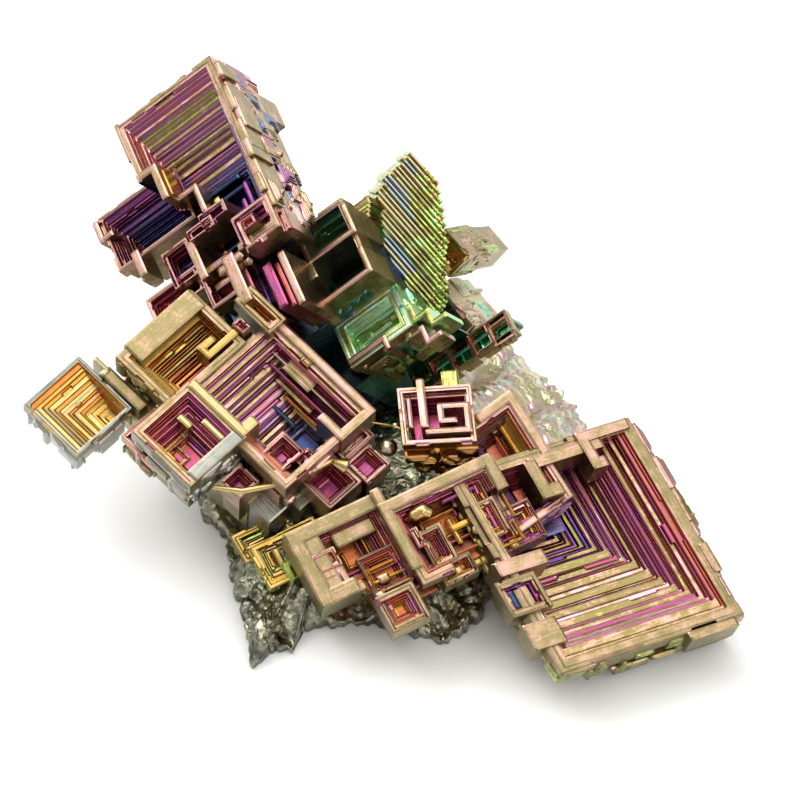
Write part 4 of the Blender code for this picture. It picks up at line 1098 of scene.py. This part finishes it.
# The small crystal that points out at the far left
leftTip = {
    "way": "middle", "seed": 281,
    "hoppers": (
        {"corner": (-32.0, 4.4, 2.5), "far": (-32.0, -5.6), "steps": 13, "rim": 0.5, "depth": 3.4,
         "runs": (5.2, 0.5, 0.5, 5.2), "second": 0.7, "body": 6.5, "tapers": (0.9, 0.9, 0.9, 0.9),
         "jogs": 7, "chips": 6, "tone": "pewter"},
    ),
    "bars": (
        (0, ((-29.4, 2.9), (-27.0, 2.8), (-26.0, 1.2), (-24.4, 0.2)), 1.2, 0.3, 6.0, 0.945),
        (0, ((-30.4, 4.0), (-29.0, 3.0), (-29.6, 2.2)), 0.5, 0.6, 3.0, 0.10, 0.8),
        (0, ((-27.8, 1.0), (-26.2, -0.6)), 0.4, -0.6, 4.0, 0.22, 0.5),
        (0, ((-28.4, 0.4), (-26.8, -1.2)), 0.4, -1.0, 4.0, 0.18, 0.5),
    ),
    "solids": (((-26.2, 3.4, 0.5), (-24.0, -4.0), 0.0, 6.0, 0.95, 0.7),),
    "crusts": (
        (0, 3, 7, (0.05, 0.95), (0.3, 3.5), 0.25, 0.02),
        (0, 1, 6, (0.05, 0.95), (0.3, 3.5), 0.25, 0.05),
        (0, 0, 5, (0.05, 0.95), (0.2, 2.0), 0.2, 0.12),
    ),
}
grow("leftTip", leftTip)

# The hopper with the long pale ridge at the lower left
lowerLeftHopper = {
    "way": "middle", "seed": 301,
    "hoppers": (
        {"corner": (-20.9, 2.0, 6.5), "far": (-20.7, -8.6), "steps": 15, "rim": 0.9, "depth": 4.6,
         "runs": (2.6, 1.2, 2.8, 1.2), "body": 11.0, "terraces": 5, "tapers": (1.0, 1.2, 0.8, 1.0),
         "jogs": 8, "tone": "bronze"},
    ),
    "bars": (
        (0, ((-20.6, 1.6), (-15.6, -3.2), (-13.4, -2.8)), 1.0, 0.5, 4.0, 0.16),
        (0, ((-15.9, -3.4), (-20.3, -7.8)), 1.3, 0.25, 6.0, 0.02, 0.8),
        (0, ((-19.4, -1.6), (-18.4, -4.4)), 0.7, -1.0, 4.0, 0.13, 0.6),
        (0, ((-21.8, -1.4), (-20.4, -2.2)), 0.7, -0.4, 4.0, 0.16, 0.5),
        (0, ((-19.2, 0.2), (-15.8, -3.1)), 0.25, -0.5, 3.5, 0.49, 0.1),
        (0, ((-19.6, -0.4), (-16.2, -3.6)), 0.25, -1.2, 3.5, 0.28, 0.1),
    ),
    "crusts": (
        (0, 3, 8, (0.05, 0.95), (0.4, 6.0), 0.25, 0.03),
        (0, 1, 10, (0.05, 0.95), (0.4, 6.0), 0.3, 0.02),
    ),
}
grow("lowerLeftHopper", lowerLeftHopper)

# The small frames in its lee
smallFrames = {
    "way": "middle", "seed": 331,
    "hoppers": (
        {"corner": (-24.4, -0.6, 3.6), "far": (-24.4, -6.6), "steps": 6, "rim": 0.5, "depth": 2.4,
         "runs": (0.5, 0.5, 0.8, 0.5), "body": 7.0, "tone": "rose", "jogs": 5, "twist": 1.0},
    ),
    "small": (
        (0, (-15.9, -6.2), (-15.9, -9.9), -0.8, 1.8, (0.4, 0.4, 0.5, 0.4), 4, 0.5, 8.0, "rose"),
        (0, (-12.0, -6.4), (-12.0, -9.7), -1.2, 1.8, (0.4, 0.4, 0.5, 0.4), 4, 0.5, 6.0, "rose"),
        (0, (-11.6, -3.0), (-12.2, -7.6), 0.0, 2.2, (0.5, 0.5, 0.6, 0.5), 5, 0.55, 7.0, "rose"),
        (0, (-6.9, -5.0), (-6.9, -10.8), -1.0, 2.6, (0.7, 0.7, 0.9, 0.7), 6, 0.65, 7.0, "rose"),
        (0, (-4.6, -1.4), (-5.4, -6.1), -0.6, 2.0, (0.6, 0.6, 0.7, 0.6), 5, 0.6, 7.0, "rose"),
        (0, (-3.2, -4.2), (-3.2, -8.4), -1.8, 1.6, (0.4, 0.4, 0.5, 0.4), 5, 0.5, 6.0, "rose"),
        (0, (-9.2, -4.6), (-9.4, -7.0), -0.6, 1.2, (0.2, 0.2, 0.3, 0.2), 3, 0.35, 6.0, "rose"),
        (0, (-22.4, -4.2), (-22.6, -7.4), -0.5, 1.6, (0.3, 0.3, 0.4, 0.3), 4, 0.45, 6.0, "straw"),
    ),
    "bars": (
        (0, ((-10.4, -4.4), (-8.2, -6.4)), 0.5, -0.8, 5.0, 0.48, 0.2),
        (0, ((-13.0, -4.8), (-14.6, -6.2)), 0.6, -0.6, 5.0, 0.97, 0.7),
    ),
    "solids": (
        ((-14.4, -2.4, -0.6), (-15.2, -10.4), 0.0, 10.0, 0.94, 0.3),
        ((-9.0, -1.0, -1.6), (-10.0, -11.0), 0.0, 10.0, 0.03, 0.6),
    ),
    "crusts": ((0, 3, 6, (0.05, 0.95), (0.4, 4.0), 0.25, 0.97),),
}
grow("smallFrames", smallFrames)

# The pale crystal whose edge winds in as a square spiral
spiralCrystal = {
    "way": "spiral", "seed": 361,
    "hoppers": (
        {"corner": (-0.4, 1.2, 4.5), "far": (7.6, -4.0), "steps": 7, "rim": 0.6, "depth": 3.2,
         "runs": (0.6, 0.6, 0.8, 0.5), "body": 8.0, "terraces": 7, "tapers": (0.8, 0.8, 0.8, 1.6),
         "jogs": 5, "tone": "shell"},
    ),
    "bars": (
        (0, ((2.6, -3.3), (6.9, -3.3), (6.9, -0.6), (4.0, -0.6), (4.0, -2.2), (5.7, -2.2)), 0.6, 0.5, 3.4,
         0.99, 0.8),
        (0, ((2.0, 1.8), (2.0, -3.0)), 0.8, 0.7, 4.0, 0.99, 0.7),
        (0, ((0.8, 0.4), (0.8, -2.6)), 0.4, -0.2, 4.0, 0.99, 0.5),
    ),
    "solids": (((4.0, 3.0, 3.0), (6.0, 0.6), 0.0, 6.0, 0.91, 0.5),),
    "crusts": ((0, 3, 16, (0.02, 0.98), (0.6, 5.0), 0.5, 0.33),),
}
grow("spiralCrystal", spiralCrystal)

# The frame between the spiral and the right hopper
elbowFrame = {
    "way": "elbow", "seed": 381,
    "hoppers": (
        {"corner": (11.0, 0.4, 3.0), "far": (11.5, -13.5), "steps": 17, "rim": 0.8, "depth": 5.5,
         "runs": (1.2, 1.4, 2.0, 1.6), "body": 10.0, "tapers": (1.0, 1.0, 1.0, 1.0),
         "jogs": 10, "tone": "ember"},
    ),
    "bars": (
        (0, ((7.6, -2.0), (11.0, 0.2), (14.6, -5.4)), 1.0, 0.5, 4.0, 0.975),
        (0, ((10.0, -2.2), (13.0, -7.4)), 0.5, -1.4, 4.0, 0.26, 0.15),
        (0, ((9.4, -3.0), (12.4, -8.2)), 0.35, -2.4, 5.0, 0.42, 0.1),
    ),
    "crusts": (
        (0, 2, 8, (0.02, 0.95), (0.3, 4.0), 0.3, 0.98),
        (0, 1, 8, (0.05, 0.95), (0.3, 4.0), 0.3, 0.56),
    ),
}
grow("elbowFrame", elbowFrame)

# The big frame at the front
frontFrame = {
    "way": "front", "seed": 401,
    "hoppers": (
        {"corner": (8.8, -5.7, 7.0), "far": (2.3, -18.3), "steps": 15, "rim": 1.0, "depth": 5.5,
         "runs": (1.4, 2.2, 3.2, 2.0), "body": 12.0,
         "bites": ((3.0, 8.9, 0.0, 1.6, 3.6), (7.4, 8.9, 0.0, 8.2, 3.6)),
         "terraces": 5, "tapers": (1.2, 1.2, 1.2, 1.2),
         "jogs": 10, "tone": "amber"},
    ),
    "small": (
        (0, (1.6, -12.4), (1.9, -14.6), 0.9, 0.8, (0.2, 0.2, 0.2, 0.2), 3, 0.35, 1.6, "rose"),
        (0, (3.9, -12.0), (3.5, -16.6), -1.0, 2.6, (0.6, 0.6, 0.8, 0.6), 6, 0.6, 6.0, "amber"),
        (0, (9.2, -9.4), (8.4, -14.2), -1.6, 2.8, (0.5, 0.5, 0.9, 0.5), 6, 0.6, 6.0, "amber"),
        (0, (12.6, -9.6), (10.6, -15.2), -2.4, 2.6, (1.6, 1.3, 1.7, 1.3), 9, 0.3, 7.0, "ember"),
    ),
    "bars": (
        (0, ((10.2, -8.8), (8.8, -5.9), (-1.4, -10.9), (1.8, -16.6)), 1.2, 0.6, 4.0, 0.955, 0.9),
        (0, ((-2.6, -8.8), (-0.4, -9.8)), 1.0, 0.2, 4.0, 0.965),
        (0, ((8.6, -10.8), (5.2, -12.6)), 0.6, -2.0, 5.5, 0.24, 0.15),
        (0, ((6.4, -9.8), (7.6, -12.6)), 0.5, -1.4, 5.5, 0.30, 0.15),
        (0, ((4.8, -11.2), (5.9, -13.8)), 0.5, -2.4, 5.5, 0.22, 0.15),
        (0, ((7.4, -8.4), (4.2, -10.0)), 0.4, -0.7, 5.5, 0.53, 0.15),
        (0, ((9.6, -12.6), (7.6, -13.8)), 0.5, -2.2, 5.5, 0.26, 0.15),
    ),
    "spirals": (
        (0, (2.6, 4.4), (5.6, 8.8), 7, 0.34, 0.72, -3.0, 6.0, (0.28, 0.50, 0.24), 0.2),
        (0, (6.4, 0.6), (8.4, 4.4), 6, 0.30, 0.60, -1.9, 6.0, (0.30, 0.24, 0.50), 0.15),
        (0, (3.4, 0.3), (6.0, 1.7), 4, 0.28, 0.50, -1.6, 6.0, (0.26, 0.53), 0.15),
    ),
    "solids": (((9.0, -7.4, 0.4), (-1.0, -20.0), 0.0, 12.0, 0.50, 0.2),),
    "crusts": (
        (0, 3, 8, (0.05, 0.6), (0.4, 6.0), 0.3, 0.95),
        (0, 0, 8, (0.05, 0.95), (0.4, 4.0), 0.25, 0.955),
        (0, 1, 8, (0.05, 0.95), (0.4, 6.0), 0.3, 0.22),
    ),
}
grow("frontFrame", frontFrame)

# The slab frame left of it, and the little golden hopper below them
slabFrame = {
    "way": "front", "seed": 441,
    "hoppers": (
        {"corner": (-1.8, -9.5, 6.0), "far": (-7.0, -20.3), "steps": 15, "rim": 0.8, "depth": 4.5,
         "runs": (1.8, 1.6, 3.2, 2.8), "body": 10.0,
         "bites": ((2.8, 7.8, 0.0, 1.2, 2.6), (6.5, 7.8, 0.0, 5.6, 2.6)), "tapers": (1.0, 1.0, 1.0, 1.0),
         "jogs": 8, "tone": "amber"},
    ),
    "small": (
        (0, (-6.6, -14.4), (-7.9, -17.2), 0.55, 0.9, (0.2, 0.2, 0.3, 0.2), 3, 0.5, 1.6, "rose"),
        (0, (-5.9, -17.0), (-6.9, -18.9), 0.42, 0.5, (0.1, 0.1, 0.2, 0.1), 2, 0.3, 1.4, "rose"),
        (0, (1.2, -17.8), (-0.6, -23.0), 1.4, 2.4, (0.7, 0.8, 0.9, 0.7), 6, 0.7, 8.0, "amber"),
        (0, (6.8, -14.8), (4.6, -18.4), 0.4, 1.4, (0.3, 0.3, 0.3, 0.3), 3, 0.6, 7.0, "amber"),
        (0, (-0.6, -14.0), (-2.4, -19.4), -0.9, 2.6, (1.6, 1.6, 1.7, 1.6), 9, 0.3, 6.0, "amber"),
    ),
    "bars": (
        (0, ((-2.2, -9.9), (-10.6, -13.6), (-7.2, -19.6), (-4.0, -18.4)), 1.6, 0.5, 6.0, 0.95, 0.9),
        (0, ((-2.6, -12.0), (-6.6, -13.8)), 1.6, -0.9, 5.0, 0.955),
        (0, ((-9.4, -13.8), (-6.4, -19.2)), 2.6, 0.35, 6.0, 0.955, 0.9),
        (0, ((-6.6, -16.2), (-4.8, -18.6)), 1.5, 0.1, 5.0, 0.975, 0.8),
        (0, ((-2.0, -19.0), (-1.0, -20.8)), 0.8, 0.1, 6.0, 0.98, 0.8),
    ),
    "spirals": (
        (0, (2.4, 3.6), (5.4, 6.6), 7, 0.32, 0.62, -2.2, 5.0, (0.28, 0.50, 0.24), 0.2),
        (0, (6.0, 1.0), (7.4, 4.6), 5, 0.30, 0.55, -1.2, 5.0, (0.30, 0.24), 0.2),
        (0, (3.0, 0.3), (5.6, 1.6), 4, 0.28, 0.50, -1.0, 5.0, (0.52, 0.26), 0.15),
    ),
    "solids": (((2.2, -15.6, 2.0), (-2.0, -21.6), 0.0, 9.0, 0.40, 0.3),),
    "crusts": (
        (0, 3, 9, (0.05, 0.95), (0.5, 6.0), 0.25, 0.95),
        (0, 1, 7, (0.05, 0.95), (0.5, 6.0), 0.25, 0.95),
    ),
}
grow("slabFrame", slabFrame)

# The big square hopper at the right, its edge broken by hooks and blocks
rightHopper = {
    "way": "right", "seed": 481,
    "hoppers": (
        {"corner": (22.8, -1.7, 2.0), "far": (15.9, -26.9), "steps": 27, "rim": 1.3, "depth": 9.0,
         "runs": (1.2, 14.4, 9.2, 3.6), "body": 11.0, "terraces": 6, "tapers": (1.6, 2.6, 1.6, 2.6),
         "jogs": 10, "chips": 10, "tone": "sunset"},
    ),
    "small": (
        (0, (13.2, -16.8), (11.2, -21.4), 0.8, 1.2, (0.2, 0.2, 0.3, 0.2), 2, 0.8, 5.0, "sunset"),
    ),
    "bars": (
        (0, ((12.8, -6.4), (19.6, -3.4)), 1.2, 0.3, 4.0, 0.97),
        (0, ((12.7, -6.2), (14.4, -9.2), (16.0, -8.6)), 1.3, 0.6, 4.0, 0.95),
        (0, ((22.6, -2.4), (18.2, -4.2), (18.9, -6.6), (20.4, -6.0)), 1.1, 0.7, 4.0, 0.975),
    ),
    "blocks": (
        (0, (30.4, -14.0), (31.2, -17.0), 0.3, 3.0, 0.975),
        (0, (33.6, -22.2), (28.4, -22.9), 0.2, 4.0, 0.96),
        (0, (24.0, -24.0), (19.0, -25.8), 0.3, 4.0, 0.955),
        (0, (14.0, -14.6), (10.0, -17.4), 0.5, 5.0, 0.975),
        (0, (15.2, -21.2), (13.4, -24.6), 0.4, 4.0, 0.955),
    ),
    "solids": (((17.0, -6.0, -4.0), (4.0, -17.0), 0.0, 10.0, 0.62, 0.3),),
    "crusts": (
        (0, 2, 26, (0.05, 0.98), (0.2, 2.4), 0.4, 0.985),
        (0, 2, 16, (0.03, 0.62), (0.0, 1.6), 1.3, 0.99),
        (0, 1, 16, (0.02, 0.98), (0.2, 6.0), 0.35, 0.95),
        (0, 3, 16, (0.02, 0.98), (0.2, 6.0), 0.35, 0.95),
    ),
}
grow("rightHopper", rightHopper)

# The stepped tan crystal that shows behind the fan
backCrystal = {
    "way": "fan", "seed": 521,
    "hoppers": (
        {"corner": (4.6, 17.4, -8.0), "far": (4.9, 12.4), "steps": 7, "rim": 0.4, "depth": 2.0,
         "runs": (0.4, 0.4, 1.2, 0.4), "body": 12.0, "terraces": 5, "tapers": (0.3, 0.3, 0.3, 0.3),
         "jogs": 4, "tone": "straw"},
        {"corner": (3.6, 12.0, -10.0), "far": (2.0, 2.0), "steps": 6, "rim": 0.7, "depth": 1.2,
         "runs": (0.5, 0.5, 0.8, 0.6), "body": 9.0, "tone": "cream", "tapers": (0.2, 0.2, 0.2, 0.2)},
    ),
    "crusts": (
        (0, 0, 20, (0.05, 0.95), (0.3, 6.0), 0.12, 0.965, 2.4),
        (0, 2, 20, (0.05, 0.95), (0.3, 6.0), 0.12, 0.97, 2.4),
        (1, 0, 18, (0.05, 0.95), (0.3, 7.0), 0.25, (0.10, 0.99, 0.86, 0.07)),
        (1, 1, 18, (0.05, 0.95), (0.3, 7.0), 0.25, (0.10, 0.99, 0.70, 0.07)),
        (1, 2, 18, (0.05, 0.95), (0.3, 7.0), 0.25, (0.10, 0.99, 0.86, 0.07)),
        (0, 1, 16, (0.05, 0.95), (0.3, 6.0), 0.15, 0.965, 2.4),
        (0, 3, 16, (0.05, 0.95), (0.3, 6.0), 0.15, 0.97, 2.4),
    ),
}
grow("backCrystal", backCrystal)

# The fan: a stack of thin plates seen edge on, narrow at the top and stepping out below. Each dark
# plate carries two ridges, pale on the left and lime on the right, and little teeth at its right end.
fan = {
    "plates": 25, "corner": (1.0, 25.1, -5.0), "seed": 541,
    "left": ((1.0, 25.1), (-1.5, 22.5), (-2.2, 21.6), (-3.5, 19.5), (-3.4, 12.9)),
    "right": ((3.2, 23.2), (3.8, 22.0), (4.3, 20.0), (4.7, 16.0), (4.7, 13.0), (4.5, 9.5), (2.0, 8.0),
              (-1.0, 9.6)),
    "leftStray": (-0.15, 0.25), "rightStray": (-0.35, 0.25),  # how far the ends stray, mm
    "tilt": 2.6,          # how much farther back the top plate stands than the bottom one
    "ridge": 0.22,        # how far plates stand in front of each other, and ridges in front of them
    "roots": (4.0, 4.8),  # how deep the bottom plate reaches, and how much deeper the top one
    "dark": (0.92, 0.6), "pale": (0.08, 0.70, 0.10, 0.71, 0.10), "paleDull": 0.95,
    "teeth": 6, "toothStep": 0.38, "toothHeight": (0.1, 0.55), "toothWidth": (0.15, 0.4),
    "lime": (0.895, 0.90, 0.20),
    "terraces": 15, "terraceStep": 0.5, "terraceFilms": (0.93, 0.95, 0.90),
}


def alongEdge(face, points, b):
    # How far along edge a an outline through working points lies, at the distance b
    spots = np.array(sorted((tuple(sidesAt(face, u, v)) for u, v in points), key=lambda spot: spot[1]))
    return float(np.interp(b, spots[:, 1], spots[:, 0]))


def buildFan():
    face = facePlane("plates", fan["corner"])
    reach = sidesAt(face, *fan["left"][-1])[1]
    random = np.random.default_rng(fan["seed"])
    parts = []
    for index in range(fan["plates"]):
        start, end = reach * index / fan["plates"], reach * (index + 1) / fan["plates"]
        near = alongEdge(face, fan["left"], end) + random.uniform(*fan["leftStray"])
        far = alongEdge(face, fan["right"], start) + random.uniform(*fan["rightStray"])
        top = fan["tilt"] * index / fan["plates"] + fan["ridge"] * random.uniform(-1.0, 1.0)
        bottom = fan["roots"][0] + fan["roots"][1] * index / fan["plates"]
        parts.append(block(face, (near, far), (start - 0.05, end), top, bottom, *fan["dark"], index))
        middle = near + (far - near) * random.uniform(0.35, 0.75)
        pale = random.choice(fan["pale"])
        ridges = ((near + random.uniform(0.1, 0.8), middle, pale, fan["paleDull"]),
                  (middle - 0.3, far - random.uniform(0.1, 0.5), fan["lime"][0], fan["dark"][1]))
        for a, b, film, dull in ridges:
            parts.append(block(face, (a, b), (start + 0.03, end - 0.14), top + fan["ridge"], bottom - 1.0,
                               film, dull, index + 50))
        for tooth in range(fan["teeth"]):
            at = far - fan["toothStep"] * tooth - random.uniform(0.0, 0.4)
            high = random.uniform(*fan["toothHeight"]) * (1.0 - 0.12 * tooth)
            parts.append(block(face, (at, at + random.uniform(*fan["toothWidth"])), (start - 0.1, end - 0.04),
                               top + high, bottom - 2.0, random.choice(fan["lime"]), 0.5, index + 90))
    # Short terraces across the left side
    tower = facePlane("tower", (-3.2, 20.0, -3.4))
    for step in range(fan["terraces"]):
        v = 20.6 - fan["terraceStep"] * step
        side = beside(tower, -3.3 + random.uniform(-0.1, 0.3), v, -0.05 * step)
        parts.append(blockTo(side, (-3.3, v), (-6.2 - 0.1 * step, v - 3.0), 0.0, 5.0,
                             random.choice(fan["terraceFilms"]), 0.4, step + 200))
    return makePiece("fanPlates", parts)


buildFan()

# The rough skin of metal that everything grows from, flat underneath
skin = {
    "outline": (
        (-14.8, -21.8), (-12.3, -19.4), (-11.0, -20.1), (-9.8, -17.0), (-3.5, -16.2), (0.4, -17.5),
        (4.8, -18.8), (8.2, -15.8), (9.2, -11.6), (13.5, -4.5), (19.6, 4.6), (18.6, 9.5), (16.0, 14.0),
        (11.5, 18.8), (9.4, 23.0), (5.4, 26.0), (0.0, 24.5), (-6.0, 21.0), (-12.5, 18.5), (-17.0, 12.0),
        (-19.0, 6.5), (-20.6, 0.6), (-20.2, -2.4), (-17.6, -5.4), (-17.0, -11.0), (-15.6, -16.2),
    ),
    "centre": (-2.0, 1.0), "edge": 1.6, "rise": 6.5, "across": 150, "around": 420, "crumple": 0.32,
}


def skinHeight(x, y, share):
    # A broad mound, with two sets of crossing ripples frozen into it, and finer folds on those:
    # the folds are |sin| of bent coordinates, each half as high and twice as close as the last
    mound = skin["edge"] + skin["rise"] * (1.0 - share ** 1.7)
    ripple = 0.7 * np.sin(0.83 * x + 1.9 * np.sin(0.31 * y)) + 0.5 * np.sin(0.71 * y - 0.57 * x)
    folds = np.zeros_like(x)
    high, close = skin["crumple"], 1.3
    for turn in (0.3, 1.1, 1.9, 2.6, 0.8):
        bent = x * math.cos(turn) + y * math.sin(turn)
        across = y * math.cos(turn) - x * math.sin(turn)
        folds += high * (np.abs(np.sin(close * bent + 1.7 * np.sin(0.6 * close * across + turn))) - 0.5)
        high, close = 0.55 * high, 1.9 * close
    return mound + (ripple + folds) * (0.4 + 0.6 * share)


def buildSkin():
    # Rings that grow from the centre to the ragged outline, at the height of skinHeight, and a flat
    # underside; the film thickens over a few millimetres towards the back right
    outline = np.array(skin["outline"])
    outline = np.concatenate([outline, outline[:1]])
    lengths = np.concatenate([[0.0], np.cumsum(np.linalg.norm(np.diff(outline, axis=0), axis=1))])
    places = np.linspace(0.0, lengths[-1], skin["around"] + 1)[:-1]
    rim = np.stack([np.interp(places, lengths, outline[:, axis]) for axis in (0, 1)], axis=-1)
    ragged = 1.0 + 0.012 * np.sin(places * 2.3) + 0.010 * np.sin(places * 5.1 + 1.0)
    centre = np.array(skin["centre"])
    share = np.linspace(0.004, 1.0, skin["across"])[:, None]
    spots = centre + (rim - centre)[None] * (share * np.where(share > 0.8, ragged, 1.0))[..., None]
    x, y = spots[..., 0], spots[..., 1]
    top = np.stack([x, y, np.maximum(skinHeight(x, y, share), 0.3)], axis=-1)
    low = np.stack([x[-1] * 0.985, y[-1] * 0.985, np.full(len(rim), 0.05)], axis=-1)[None]
    under = low * np.array([0.02, 0.02, 0.0]) + np.array([*(centre * 0.98), 0.05])
    points = np.concatenate([top, low, under])
    index = np.arange(points.shape[0] * points.shape[1]).reshape(points.shape[:2])
    after = np.roll(index, -1, axis=1)
    quads = np.stack([index[:-1], index[1:], after[1:], after[:-1]], axis=-1).reshape(-1, 4)
    cream = np.clip((x - 2.0) / 5.0, 0.0, 1.0) * np.clip((y + 4.0) / 5.0, 0.0, 1.0)
    whole = np.concatenate([cream, np.zeros((2, len(rim)))])
    film = (whole[:-1] + whole[1:]).ravel() / 2.0
    sizes = np.full(len(quads), 4)
    mesh = plainMesh("meltSkin", points.reshape(-1, 3) * mm, quads.ravel(), sizes, {"film": film})
    caps = bmesh.new()
    caps.from_mesh(mesh)
    bmesh.ops.holes_fill(caps, edges=[edge for edge in caps.edges if edge.is_boundary], sides=0)
    bmesh.ops.recalc_face_normals(caps, faces=caps.faces)
    caps.to_mesh(mesh)
    caps.free()
    return showPiece("meltSkin", mesh, skinMetal)


buildSkin()

# Smooth yellow-green crystals, half sunk in the skin at the front
limeCrystals = {
    "way": "front", "seed": 561,
    "hoppers": (
        {"corner": (-8.6, -11.6, -1.2), "far": (-13.0, -19.0), "steps": 6, "rim": 0.7, "depth": 1.8,
         "runs": (0.8, 1.6, 0.8, 1.2), "body": 4.0, "tone": "lime", "jogs": 8, "waver": 0.06},
        {"corner": (-11.6, -11.2, -2.4), "far": (-15.4, -16.4), "steps": 5, "rim": 0.6, "depth": 1.4,
         "runs": (0.8, 1.0, 0.8, 0.8), "body": 4.0, "tone": "lime", "waver": 0.06},
    ),
    "bars": (
        (0, ((-9.0, -15.4), (-11.4, -16.6), (-10.4, -18.6)), 0.8, 0.4, 3.0, 0.895, 0.4),
        (0, ((-12.6, -14.8), (-11.6, -16.8)), 0.7, 0.2, 3.0, 0.20, 0.4),
    ),
    "crusts": (
        (0, 3, 6, (0.05, 0.95), (0.3, 3.0), 0.3, 0.91),
        (0, 1, 6, (0.05, 0.95), (0.3, 3.0), 0.3, 0.90),
    ),
}
grow("limeCrystals", limeCrystals)

# Metal that ran and froze: a web stretched between the small frames, its drop, and a bright bead
drips = {
    "web": ((-18.6, -8.6), (-15.6, -9.0), (-12.4, -8.4), (-9.4, -7.4), (-6.8, -6.0), (-5.2, -6.6)),
    "webRadii": (0.20, 0.34, 0.30, 0.34, 0.30, 0.85), "webRise": -3.0,
    # u, v, w, radius and film
    "beads": ((-1.2, -4.7, 2.6, 1.0, 0.03), (2.6, -3.0, 1.2, 0.5, 0.03), (-0.4, -2.6, 1.6, 0.45, 0.03)),
    "nugget": ((0.4, -11.9, 7.0), (1.3, -11.4, 7.4), (2.2, -10.9, 7.4), (3.0, -11.2, 7.2)),
    "nuggetRadii": (0.25, 0.75, 0.85, 0.6),
    "threads": (((-3.0, -2.2, 3.6), (-0.6, -2.6, 3.0), (1.6, -3.4, 3.4)),),
}


def buildDrips():
    # Tubes through the points of each run of metal, drawn thin at the ends, and round beads
    plane = facePlane("middle", lowerLeftHopper["hoppers"][0]["corner"])
    web = [beside(plane, u, v, drips["webRise"])["corner"] for u, v in drips["web"]]
    parts = [drawnOut(web, drips["webRadii"], 0.17, 0.5)]
    parts += [drawnOut(thread, (0.10, 0.16, 0.10), 0.17, 0.4, around=8) for thread in drips["threads"]]
    parts += [bead((u, v, w), radius, film, 0.0) for u, v, w, radius, film in drips["beads"]]
    parts.append(drawnOut(drips["nugget"], drips["nuggetRadii"], 0.15, 0.1, around=24, along=10))
    makePiece("frozenDrips", parts).data.shade_smooth()


buildDrips()

# Studio: a pale floor, a camera looking down the plane's normal, and soft lights
studio = {
    "distance": 0.6667, "lens": 300.0, "film": 36.0,  # camera: metres, mm and mm
    "floor": "#F4F4F2", "floorReach": 2.0, "world": 0.62, "aim": (0.0, 0.0, 0.015),
    # place, size and power of each light, in metres and watts
    "lights": {"keyLight": ((-0.30, 0.22, 0.50), 0.55, 2.9), "ceilingLight": ((0.04, -0.04, 0.62), 0.60, 2.4),
               "fillLight": ((0.45, -0.35, 0.40), 0.40, 1.2)},
}


def placed(name, data, place=(0.0, 0.0, 0.0), turn=(0.0, 0.0, 0.0)):
    # An object in the scene, at place and turned by turn
    thing = bpy.data.objects.new(name, data)
    bpy.context.scene.collection.objects.link(thing)
    thing.location, thing.rotation_euler = place, turn
    return thing


def buildCamera():
    camera = bpy.data.cameras.new("camera")
    camera.lens, camera.sensor_width = studio["lens"], studio["film"]
    normal = np.array([0.0, -math.cos(lean), math.sin(lean)])
    spot = np.array([0.0, 0.0, planeHeight * mm]) + normal * studio["distance"]
    bpy.context.scene.camera = placed("camera", camera, spot, (math.pi / 2.0 - lean, 0.0, 0.0))


def buildFloor():
    reach = studio["floorReach"]
    mesh = bpy.data.meshes.new("floor")
    corners = [(-reach, -reach, 0), (reach, -reach, 0), (reach, reach, 0), (-reach, reach, 0)]
    mesh.from_pydata(corners, [], [(0, 1, 2, 3)])
    placed("floor", mesh)
    paper = bpy.data.materials.new("matteWhitePaper")
    paper.use_nodes = True
    shader = paper.node_tree.nodes["Principled BSDF"]
    shader.inputs["Base Color"].default_value = toLinear(studio["floor"])
    shader.inputs["Roughness"].default_value = 0.9
    mesh.materials.append(paper)


def buildLights():
    # Square area lights, turned to shine at the middle of the cluster, and an even white world
    for name, (place, size, power) in studio["lights"].items():
        light = bpy.data.lights.new(name, "AREA")
        light.shape, light.size, light.size_y, light.energy = "RECTANGLE", size, size, power
        away = np.array(place) - np.array(studio["aim"])
        away = away / np.linalg.norm(away)
        placed(name, light, place, (math.acos(away[2]), 0.0, math.atan2(away[0], -away[1])))
    world = bpy.data.worlds.new("studio")
    world.use_nodes = True
    sky = world.node_tree.nodes["Background"].inputs
    sky["Color"].default_value, sky["Strength"].default_value = toLinear("#FFFFFF"), studio["world"]
    bpy.context.scene.world = world
    bpy.context.scene.view_settings.view_transform = "Standard"


buildCamera()
buildFloor()
buildLights()
print("studio lit")
